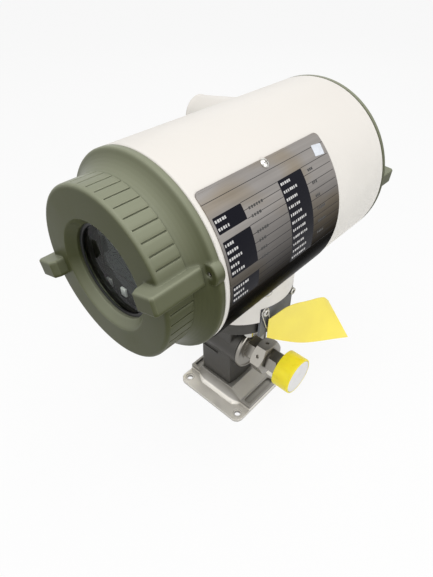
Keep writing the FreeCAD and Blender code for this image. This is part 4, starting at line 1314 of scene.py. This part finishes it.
class LabelDashes(Pattern):
    """Rows of small blank dashes bent onto the nameplate's curve."""

    label = "label_dashes"
    takes = (
        ("Columns", "NodeSocketInt"),
        ("Rows", "NodeSocketInt"),
        ("Width", "NodeSocketFloat"),
        ("Height", "NodeSocketFloat"),
        ("Dash", "NodeSocketVector"),
        ("Middle Across", "NodeSocketFloat"),
        ("Middle Up", "NodeSocketFloat"),
        ("Radius", "NodeSocketFloat"),
        ("Axis Height", "NodeSocketFloat"),
        ("Keep", "NodeSocketFloat"),
        ("Seed", "NodeSocketInt"),
    )
    shortest_row = 0.4
    shortest_dash = 0.6

    def wire(self, tree: Tree, taken: Any) -> Socket:
        """Set dashes of uneven length on a grid, drop some, and bend what is left.

        Args:
            tree: The pattern's tree.
            taken: The pattern's input sockets.

        Returns:
            The shape.
        """
        size = {"Size X": taken["Width"], "Size Y": taken["Height"]}
        count = {"Vertices X": taken["Columns"], "Vertices Y": taken["Rows"]}
        grid = tree.node("GeometryNodeMeshGrid", {**size, **count}).outputs["Mesh"]
        points = tree.node("GeometryNodeMeshToPoints", {"Mesh": grid}).outputs["Points"]
        cut = {"Geometry": points, "Selection": self.chance(tree, taken)}
        kept = tree.node("GeometryNodeDeleteGeometry", cut, domain="POINT").outputs["Geometry"]
        dash, scale = self.from_its_end(tree, taken), self.uneven(tree, taken)
        inputs = {"Points": kept, "Instance": dash, "Scale": scale}
        dashes = tree.node("GeometryNodeInstanceOnPoints", inputs).outputs["Instances"]
        real = tree.node("GeometryNodeRealizeInstances", {"Geometry": dashes}).outputs["Geometry"]
        return self.bend(tree, taken, real)

    def from_its_end(self, tree: Tree, taken: Any) -> Socket:
        """Make one dash, with its origin at its left end.

        Args:
            tree: The pattern's tree.
            taken: The pattern's input sockets.

        Returns:
            The dash.
        """
        block = tree.node("GeometryNodeMeshCube", {"Size": taken["Dash"]}).outputs["Mesh"]
        factors = {0: taken["Dash"], 1: (0.5, 0.0, 0.0)}
        half = tree.node("ShaderNodeVectorMath", factors, operation="MULTIPLY").outputs["Vector"]
        move = {"Geometry": block, "Translation": half}
        return tree.node("GeometryNodeTransform", move).outputs["Geometry"]

    def chance(self, tree: Tree, taken: Any) -> Socket:
        """Find the places past the end of each row, whose length is drawn by chance.

        Args:
            tree: The pattern's tree.
            taken: The pattern's input sockets.

        Returns:
            True for the places that stay empty.
        """
        index = tree.node("GeometryNodeInputIndex").outputs[0]
        row = tree.math("MODULO", index, taken["Rows"])
        draw = {2: self.shortest_row, 3: 1.0, "ID": row, "Seed": taken["Seed"]}
        roll = tree.node("FunctionNodeRandomValue", draw, data_type="FLOAT").outputs[1]
        place = tree.node("GeometryNodeInputPosition").outputs[0]
        across = tree.node("ShaderNodeSeparateXYZ", {0: place}).outputs["X"]
        share = tree.math("ADD", tree.math("DIVIDE", across, taken["Width"]), 0.49)
        limit = tree.math("MULTIPLY", roll, taken["Keep"])
        sides = {0: share, 1: limit}
        return tree.node("FunctionNodeCompare", sides, operation="GREATER_THAN").outputs[0]

    def uneven(self, tree: Tree, taken: Any) -> Socket:
        """Scale of each dash, uneven along its length."""
        draw = {0: (self.shortest_dash, 1.0, 1.0), 1: (1.0, 1.0, 1.0), "Seed": taken["Seed"]}
        return tree.node("FunctionNodeRandomValue", draw, data_type="FLOAT_VECTOR").outputs[0]

    def bend(self, tree: Tree, taken: Any, shape: Socket) -> Socket:
        """Move flat points onto the drum: X becomes its axis and Y its girth.

        Args:
            tree: The pattern's tree.
            taken: The pattern's input sockets.
            shape: The flat shape.

        Returns:
            The bent shape.
        """
        place = tree.node("GeometryNodeInputPosition").outputs[0]
        parts = tree.node("ShaderNodeSeparateXYZ", {0: place}).outputs
        up = tree.math("ADD", parts["Y"], taken["Middle Up"])
        angle = tree.math("DIVIDE", up, taken["Radius"])
        reach = tree.math("ADD", parts["Z"], taken["Radius"])
        x = tree.math("MULTIPLY", reach, tree.math("COSINE", angle))
        z = tree.math("MULTIPLY_ADD", reach, tree.math("SINE", angle), taken["Axis Height"])
        y = tree.math("ADD", parts["X"], taken["Middle Across"])
        bent = tree.node("ShaderNodeCombineXYZ", {0: x, 1: y, 2: z}).outputs[0]
        moved = {"Geometry": shape, "Position": bent}
        return tree.node("GeometryNodeSetPosition", moved).outputs["Geometry"]


def link_mesh(name: str, mesh: bpy.types.Mesh) -> bpy.types.Object:
    """Put a mesh in the scene as an object at the origin.

    Args:
        name: Name of the new object.
        mesh: Its mesh.

    Returns:
        The new object.
    """
    piece = bpy.data.objects.new(name, mesh)
    bpy.context.scene.collection.objects.link(piece)
    return piece


# ---------------------------------------------------------------- sub-assemblies
@dataclass(frozen=True)
class ThreadSize:
    """Sizes of one kind of thread.

    Attributes:
        radius: Radius of the cylinder under the ridge.
        length: Threaded length.
        pitch: Pitch.
        inset: Distance from the piece's reference edge to the thread's start.
    """

    radius: float
    length: float
    pitch: float
    inset: float


@dataclass
class ScrewThreads:
    """Thread ridges of both covers and of the two union joints.

    Attributes:
        layout: Places read from the frame.
        workshop: Finishes.
        cover: Thread on a cover's spigot, started from the middle of its seal.
        adapter: Thread on an adapter, started from the nut's inner end.
        pipe: Thread on a tail piece, started from its tip.
        ridge: Height that a ridge stands out.
        sink: Depth that its root lies in the piece.
        steps: Points in each turn.
    """

    layout: Layout
    workshop: Workshop
    cover: ThreadSize = ThreadSize(60.0 * MM, 5.0 * MM, 2.0 * MM, 3.4 * MM)
    adapter: ThreadSize = ThreadSize(12.0 * MM, 6.4 * MM, 1.5 * MM, 0.6 * MM)
    pipe: ThreadSize = ThreadSize(10.4 * MM, 12.0 * MM, 1.5 * MM, 13.5 * MM)
    ridge: float = 0.26 * MM
    sink: float = 0.05 * MM
    steps: int = 64

    def build(self) -> None:
        """Wind every thread that a moved piece lays bare."""
        for cover, away in (("display_cover", -1), ("terminal_cover", 1)):
            low, high = corners(f"{cover}_o_ring")
            begin = (low.y + high.y) / 2.0 - away * self.cover.inset
            turn = (away * -math.pi / 2.0, 0.0, 0.0)
            start = (0.0, begin, self.layout.drum_z)
            self.wind(f"{cover}_thread", cover, self.cover, start, turn, GREEN_COAT)
        for side, away in (("right", 1), ("left", -1)):
            turn = (0.0, away * math.pi / 2.0, 0.0)
            nut = corners(f"{side}_union_nut")
            tail = corners(f"{side}_union_tail")
            inner, tip = (nut[0].x, tail[1].x) if away > 0 else (nut[1].x, tail[0].x)
            start = (inner + away * self.adapter.inset, 0.0, self.layout.tube.z)
            self.wind(f"{side}_adapter_thread", "instrument", self.adapter, start, turn, TURNED_STEEL)
            start = (tip - away * self.pipe.inset, 0.0, self.layout.tube.z)
            self.wind(f"{side}_pipe_thread", f"{side}_union_tail", self.pipe, start, turn, TURNED_STEEL)

    def wind(self, name: str, body: str, size: ThreadSize, start: tuple, turn: tuple,
             finish: Finish) -> None:
        """Wind one thread.

        Args:
            name: Name of the new piece.
            body: Body that it moves with.
            size: Sizes of the thread.
            start: Where the thread begins.
            turn: Rotation that lays the winding axis along the piece.
            finish: Finish of the piece that carries it.
        """
        values = {
            "Radius": size.radius - self.sink,
            "Turns": size.length / size.pitch,
            "Length": size.length,
            "Ridge": self.ridge,
            "Steps": self.steps,
            "Start": start,
            "Turn": turn,
        }
        piece = ThreadRidge().build(name, self.workshop.material(finish), values)
        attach(piece, body)
        log.info("wound %s", name)


@dataclass(frozen=True)
class DashBlock:
    """A block of dashes on the nameplate, with its sizes in millimetres.

    Attributes:
        name: Name of the piece.
        across: Its middle's distance from the plate's front end.
        angle: Its middle's angle in degrees.
        columns: Most dashes in a row.
        rows: Number of rows.
        width: Its width.
        height: Its height.
        keep: Share of the width that the longest rows fill.
        finish: Finish of the dashes.
        seed: Seed of the random lengths.
    """

    name: str
    across: float
    angle: float
    columns: int
    rows: int
    width: float
    height: float
    keep: float
    finish: Finish
    seed: int


@dataclass
class NameplateDetail:
    """The nameplate's print: dark cells and rules in its finish, and raised blank dashes.

    Attributes:
        layout: Places read from the frame.
        workshop: Finishes.
        front: The plate's end nearest the display cover.
        rear: The plate's other end.
        dash_share: Share of its place that a full dash takes up.
        dash_height: Height of a dash.
        dash_thickness: How thick a dash is.
        label_half: Half the blank label's width.
        label_lift: How far its face stands off the plate.
        label_inset: Distance of its middle from the plate's rear end.
        label_angle: Angle of its middle in degrees.
        label_turn: How far it is askew, in degrees.
        label_steps: Faces across it.
        label_squat: Its height as a share of its width.
        label_depth: Its thickness as a share of its lift.
    """

    layout: Layout
    workshop: Workshop
    front: float
    rear: float
    dash_share: float = 0.82
    dash_height: float = 1.7 * MM
    dash_thickness: float = 0.06 * MM
    label_half: float = 4.9 * MM
    label_lift: float = 0.12 * MM
    label_inset: float = 8.4 * MM
    label_angle: float = 44.0
    label_turn: float = -7.0
    label_steps: int = 6
    label_squat: float = 0.8
    label_depth: float = 0.9

    def finish(self) -> NameplatePrint:
        """Lay out the print on the sheet itself.

        Returns:
            The sheet's finish.
        """
        front, rear = self.front, self.rear
        label_end = front + 25.0 * MM
        second = front + 59.5 * MM
        second_end = second + 24.5 * MM
        edge = 1.6 * MM
        cells = (
            (front + edge, label_end, 31.9, 39.8),
            (front + edge, label_end, 10.5, 28.4),
            (front + edge, label_end + 0.6 * MM, -5.0, 5.5),
            (second, second_end, -6.0, 40.0),
        )
        rules = [(front, rear, 46.8)]
        for angle in (39.8, 35.9, 31.9, 28.4, 23.9, 19.4, 14.9, 10.5, 5.5, 2.0, -1.5, -5.0):
            rules.append((label_end, second, angle))
        for angle in (40.0, 35.4, 30.8, 26.2, 21.6, 17.0, 12.4, 7.8, 3.2, -1.4, -6.0):
            rules.append((second_end, rear - edge, angle))
        return NameplatePrint(
            name="nameplate_print",
            steel=(0.40, 0.375, 0.355),
            shade=(0.042, 0.041, 0.040),
            warm=(0.34, 0.27, 0.17),
            ink=(0.007, 0.007, 0.011),
            radius=self.layout.plate_r,
            axis_z=self.layout.drum_z,
            cells=cells,
            rules=tuple(rules),
        )

    def build(self) -> None:
        """Add the raised dashes and the blank label."""
        light, dark = LIGHT_DASHES, DARK_DASHES
        for block in (
            DashBlock("first_label_dashes", 10.9, 35.9, 9, 2, 17.0, 4.6, 0.8, light, 11),
            DashBlock("second_label_dashes", 10.9, 19.4, 9, 5, 17.0, 17.0, 0.8, light, 12),
            DashBlock("third_label_dashes", 11.4, 0.3, 9, 3, 18.0, 8.4, 1.0, light, 13),
            DashBlock("fourth_label_dashes", 70.0, 17.0, 9, 11, 18.0, 51.0, 1.0, light, 14),
            DashBlock("first_value_dashes", 38.0, 33.8, 8, 2, 18.0, 4.9, 1.0, dark, 15),
            DashBlock("second_value_dashes", 38.0, 17.2, 8, 4, 18.0, 16.5, 0.6, dark, 16),
            DashBlock("third_value_dashes", 97.0, 19.3, 8, 6, 15.0, 44.0, 0.8, dark, 17),
        ):
            self.print_block(block)
        self.blank_label()

    def print_block(self, block: DashBlock) -> None:
        """Print one block of dashes.

        Args:
            block: The block.
        """
        step = block.width / block.columns
        values = {
            "Columns": block.columns,
            "Rows": block.rows,
            "Width": block.width * (1.0 - 1.0 / block.columns) * MM,
            "Height": block.height * MM,
            "Dash": (step * self.dash_share * MM, self.dash_height, self.dash_thickness),
            "Middle Across": self.front + block.across * MM - step / 2.0 * MM,
            "Middle Up": math.radians(block.angle) * self.layout.plate_r,
            "Radius": self.layout.plate_r,
            "Axis Height": self.layout.drum_z,
            "Keep": block.keep,
            "Seed": block.seed,
        }
        piece = LabelDashes().build(block.name, self.workshop.material(block.finish), values)
        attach(piece, "instrument")
        log.info("printed %s", block.name)

    def label_layer(self, builder: bmesh.types.BMesh, reach: float) -> list[list[bmesh.types.BMVert]]:
        """Lay out one face of the label on the plate's curve, set slightly askew.

        Args:
            builder: The mesh under construction.
            reach: The face's distance from the drum's axis.

        Returns:
            Rows of points.
        """
        across, up = self.rear - self.label_inset, math.radians(self.label_angle) * self.layout.plate_r
        turn = math.radians(self.label_turn)
        shares = [step / self.label_steps * 2.0 - 1.0 for step in range(self.label_steps + 1)]
        grid = []
        for b in (share * self.label_half * self.label_squat for share in shares):
            line = []
            for a in (share * self.label_half for share in shares):
                flat_across = across + a * math.cos(turn) - b * math.sin(turn)
                angle = (up + a * math.sin(turn) + b * math.cos(turn)) / self.layout.plate_r
                high = self.layout.drum_z + reach * math.sin(angle)
                line.append(builder.verts.new((reach * math.cos(angle), flat_across, high)))
            grid.append(line)
        return grid

    def blank_label(self) -> None:
        """Stick a small blank white label at the plate's upper rear corner."""
        builder = bmesh.new()
        reach = self.layout.plate_r + self.label_lift
        outer = self.label_layer(builder, reach)
        inner = self.label_layer(builder, reach - self.label_lift * self.label_depth)
        for grid in (outer, inner):
            for near, far in zip(grid, grid[1:]):
                for column in range(self.label_steps):
                    builder.faces.new((near[column], far[column], far[column + 1], near[column + 1]))
        ring = list(zip(rim_of(outer), rim_of(inner)))
        for (front, back), (next_front, next_back) in zip(ring, ring[1:] + ring[:1]):
            builder.faces.new((front, back, next_back, next_front))
        bmesh.ops.recalc_face_normals(builder, faces=builder.faces)
        mesh = bpy.data.meshes.new("blank_label")
        builder.to_mesh(mesh)
        builder.free()
        piece = link_mesh("blank_label", mesh)
        self.workshop.dress(piece, WHITE_LABEL)
        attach(piece, "instrument")
        log.info("stuck blank_label")


def rim_of(grid: list[list[Any]]) -> list[Any]:
    """Walk once round the outside of a grid.

    Args:
        grid: Rows of equal length.

    Returns:
        The border's members in order, each one once.
    """
    down, back = [row[-1] for row in grid[1:-1]], [row[0] for row in grid[-2:0:-1]]
    return grid[0] + down + grid[-1][::-1] + back


@dataclass
class HangingTag:
    """Yellow card tag that hangs beside the neck in a gentle twist.

    Attributes:
        layout: Places read from the frame.
        workshop: Finishes.
        thickness: Card thickness.
        rows: Faces across the card.
        columns: Faces along the card.
        bow: How much longer the smooth edge is than straight lines between its points; not used.
    """

    layout: Layout
    workshop: Workshop
    thickness: float = 0.5 * MM
    rows: int = 14
    columns: int = 40
    bow: float = 1.05

    def edges(self) -> tuple[list[Vector], list[Vector]]:
        """Set the points of both edges, from the tied end.

        Returns:
            The upper edge's points and the lower edge's.
        """
        low, high = self.layout.tag_low, self.layout.tag_high
        tied = Vector((low.x + 0.4 * MM, low.y + 0.2 * MM, 0.0))
        upper = [
            tied + Vector((0.0, 0.0, 0.1301)),
            Vector((0.0522, 0.0052, high.z - 0.6 * MM)),
            Vector((0.0570, 0.0300, 0.1284)),
            Vector((0.0606, 0.0506, 0.1212)),
            Vector((0.0624, high.y - 4.2 * MM, 0.1142)),
        ]
        lower = [
            tied + Vector((0.0, 0.0, 0.1086)),
            Vector((0.0520, -0.0060, 0.1035)),
            Vector((0.0650, 0.0200, 0.0885)),
            Vector((0.0834, 0.0532, 0.0816)),
            Vector((high.x - 0.5 * MM, high.y - 0.6 * MM, low.z + 0.4 * MM)),
        ]
        return upper, lower

    def build(self) -> None:
        """Loft the card between its two edges and give it its thickness."""
        upper, lower = self.edges()
        knots = spacing([top.lerp(bottom, 0.5) for top, bottom in zip(upper, lower)])
        builder = bmesh.new()
        grid = []
        for column in range(self.columns + 1):
            share = column / self.columns
            top, bottom = along(upper, knots, share), along(lower, knots, share)
            places = [top.lerp(bottom, row / self.rows) for row in range(self.rows + 1)]
            grid.append([builder.verts.new(place) for place in places])
        for near, far in zip(grid, grid[1:]):
            for row in range(self.rows):
                builder.faces.new((near[row], near[row + 1], far[row + 1], far[row]))
        area = sum(face.calc_area() for face in builder.faces)
        mesh = bpy.data.meshes.new("card_tag")
        builder.to_mesh(mesh)
        builder.free()
        piece = link_mesh("card_tag", mesh)
        thicken = piece.modifiers.new("thickness", "SOLIDIFY")
        thicken.thickness = self.thickness
        thicken.offset = 0.0
        bake_modifiers(piece)
        smooth_by_angle(piece, 40.0)
        self.workshop.dress(piece, YELLOW_CARD)
        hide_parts("tag")
        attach(piece, "instrument")


def spacing(points: list[Vector]) -> list[float]:
    """Measure where a line's points lie along it.

    Args:
        points: The line's points.

    Returns:
        Share of the whole length at each point.
    """
    travelled = [0.0]
    for start, end in zip(points, points[1:]):
        travelled.append(travelled[-1] + (end - start).length)
    return [distance / travelled[-1] for distance in travelled]


def along(points: list[Vector], knots: list[float], share: float) -> Vector:
    """Point on a smooth curve through given points.

    Args:
        points: The curve's points.
        knots: Share of the way at which each point lies.
        share: From 0 at the first point to 1 at the last.

    Returns:
        The place on the curve.
    """
    last = len(points) - 1
    span = max(index for index in range(last) if knots[index] <= share)
    step = knots[span + 1] - knots[span]
    t = (share - knots[span]) / step

    def slope(index: int) -> Vector:
        """Way the curve goes at one of its points."""
        before, after = max(index - 1, 0), min(index + 1, last)
        return (points[after] - points[before]) * (step / (knots[after] - knots[before]))

    a = points[span] * (2 * t**3 - 3 * t**2 + 1) + slope(span) * (t**3 - 2 * t**2 + t)
    return a + points[span + 1] * (3 * t**2 - 2 * t**3) + slope(span + 1) * (t**3 - t**2)


def bake_modifiers(piece: bpy.types.Object) -> None:
    """Replace a piece's mesh with the result of its modifiers.

    Args:
        piece: The piece, which keeps no modifiers.
    """
    graph = bpy.context.evaluated_depsgraph_get()
    mesh = bpy.data.meshes.new_from_object(piece.evaluated_get(graph))
    piece.modifiers.clear()
    piece.data = mesh


# ---------------------------------------------------------------- studio
@dataclass(frozen=True)
class Lamp:
    """A soft square lamp.

    Attributes:
        name: Lamp name.
        place: Where it hangs.
        size: Width of its face.
        watts: Power.
    """

    name: str
    place: tuple[float, float, float]
    size: float
    watts: float


@dataclass
class Studio:
    """Pale floor, soft lamps, world and camera.

    Attributes:
        floor_half: Half the floor's width.
        floor_white: Share of plain white that the eye sees over the floor's own shading.
        world_level: Strength of the light that the surroundings give.
        lamps_aim: Point that every lamp faces.
        lamps: The lamps.
        camera_at: Camera position.
        camera_heading: Direction the camera looks in.
        lens: Focal length.
        sensor: Sensor width in the same unit.
    """

    floor_half: float = 4.0
    floor_white: float = 0.9
    world_level: float = 0.34
    lamps_aim: tuple[float, float, float] = (0.0, 0.0, 0.15)
    lamps: tuple[Lamp, ...] = (
        Lamp("overhead_panel", (0.25, -0.25, 1.2), 1.1, 9.0),
        Lamp("front_panel", (-0.4, -1.35, 0.65), 0.9, 2.4),
        Lamp("right_panel", (1.2, -0.1, 0.6), 0.8, 3.8),
        Lamp("rear_panel", (-0.8, 1.0, 0.8), 0.8, 1.2),
    )
    camera_at: tuple[float, float, float] = (0.19423, -0.23806, 0.38980)
    camera_heading: tuple[float, float, float] = (-0.5152, 0.5599, -0.6489)
    lens: float = 37.05
    sensor: float = 36.0

    def build(self) -> None:
        """Set up everything that isn't part of the object."""
        self.floor()
        self.world()
        for lamp in self.lamps:
            self.hang(lamp)
        self.camera()

    def for_eye(self, tree: Tree) -> Socket:
        """Find the rays that the camera, a mirror or glass sends.

        Args:
            tree: The tree to add to.

        Returns:
            1 for those rays.
        """
        path = tree.node("ShaderNodeLightPath").outputs
        seen = tree.math("MAXIMUM", path["Is Camera Ray"], path["Is Glossy Ray"])
        return tree.math("MAXIMUM", seen, path["Is Transmission Ray"])

    def floor(self) -> None:
        """Lay a flat pale floor that keeps the object's shadow."""
        half = self.floor_half
        outline = [(-half, -half, 0), (half, -half, 0), (half, half, 0), (-half, half, 0)]
        mesh = bpy.data.meshes.new("floor")
        mesh.from_pydata(outline, [], [(0, 1, 2, 3)])
        floor = link_mesh("floor", mesh)
        surface = Surface("pale_floor", roughness=0.9, Specular_IOR_Level=0.1)
        tree = surface.tree
        faint = tree.noise(surface.place, 3.0)
        surface.colour(tree.mix(faint, rgba((0.90,) * 3), rgba((0.92,) * 3)))
        plain = tree.node("ShaderNodeEmission", {"Color": WHITE, "Strength": 1.0}).outputs[0]
        share = tree.share(self.for_eye(tree), self.floor_white)
        inputs = {0: share, 1: surface.shader.outputs[0], 2: plain}
        surface.end_with(tree.node("ShaderNodeMixShader", inputs).outputs[0])
        mesh.materials.append(surface.material)

    def world(self) -> None:
        """Set even white surroundings, at a plain level for the light they give."""
        world = bpy.data.worlds.new("studio")
        bpy.context.scene.world = world
        world.use_nodes = True
        world.node_tree.nodes.clear()
        tree = Tree(world.node_tree)
        lit, plain = (
            tree.node("ShaderNodeBackground", {"Color": WHITE, "Strength": level}).outputs[0]
            for level in (self.world_level, 1.0)
        )
        both = tree.node("ShaderNodeMixShader", {0: self.for_eye(tree), 1: lit, 2: plain}).outputs[0]
        tree.node("ShaderNodeOutputWorld", {"Surface": both})

    def hang(self, lamp: Lamp) -> None:
        """Hang one lamp.

        Args:
            lamp: The lamp.
        """
        light = bpy.data.lights.new(lamp.name, "AREA")
        light.shape = "SQUARE"
        light.size = lamp.size
        light.energy = lamp.watts
        hung = bpy.data.objects.new(lamp.name, light)
        bpy.context.scene.collection.objects.link(hung)
        hung.location = lamp.place
        facing = Vector(self.lamps_aim) - Vector(lamp.place)
        hung.rotation_euler = facing.to_track_quat("-Z", "Y").to_euler()

    def camera(self) -> None:
        """Set the camera high in front of the nameplate side."""
        data = bpy.data.cameras.new("camera")
        data.sensor_fit = "HORIZONTAL"
        data.sensor_width = self.sensor
        data.lens = self.lens
        data.clip_start = 0.01
        camera = bpy.data.objects.new("camera", data)
        bpy.context.scene.collection.objects.link(camera)
        camera.location = self.camera_at
        camera.rotation_euler = Vector(self.camera_heading).to_track_quat("-Z", "Y").to_euler()
        bpy.context.scene.camera = camera
        bpy.context.scene.view_settings.view_transform = "Standard"


def main() -> None:
    """Load the frame, dress it, add the pieces it leaves out, and set up the studio."""
    logging.basicConfig(level=logging.INFO, format="%(name)s: %(message)s")
    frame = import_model()
    layout = Layout.from_frame()
    workshop = Workshop()
    plate_low, plate_high = corners("nameplate")
    plate = NameplateDetail(layout, workshop, plate_low.y, plate_high.y)
    workshop.dress_frame(frame["nodes"], plate.finish())
    plate.build()
    ScrewThreads(layout, workshop).build()
    HangingTag(layout, workshop).build()
    Studio().build()


if __name__ == "__main__":
    main()
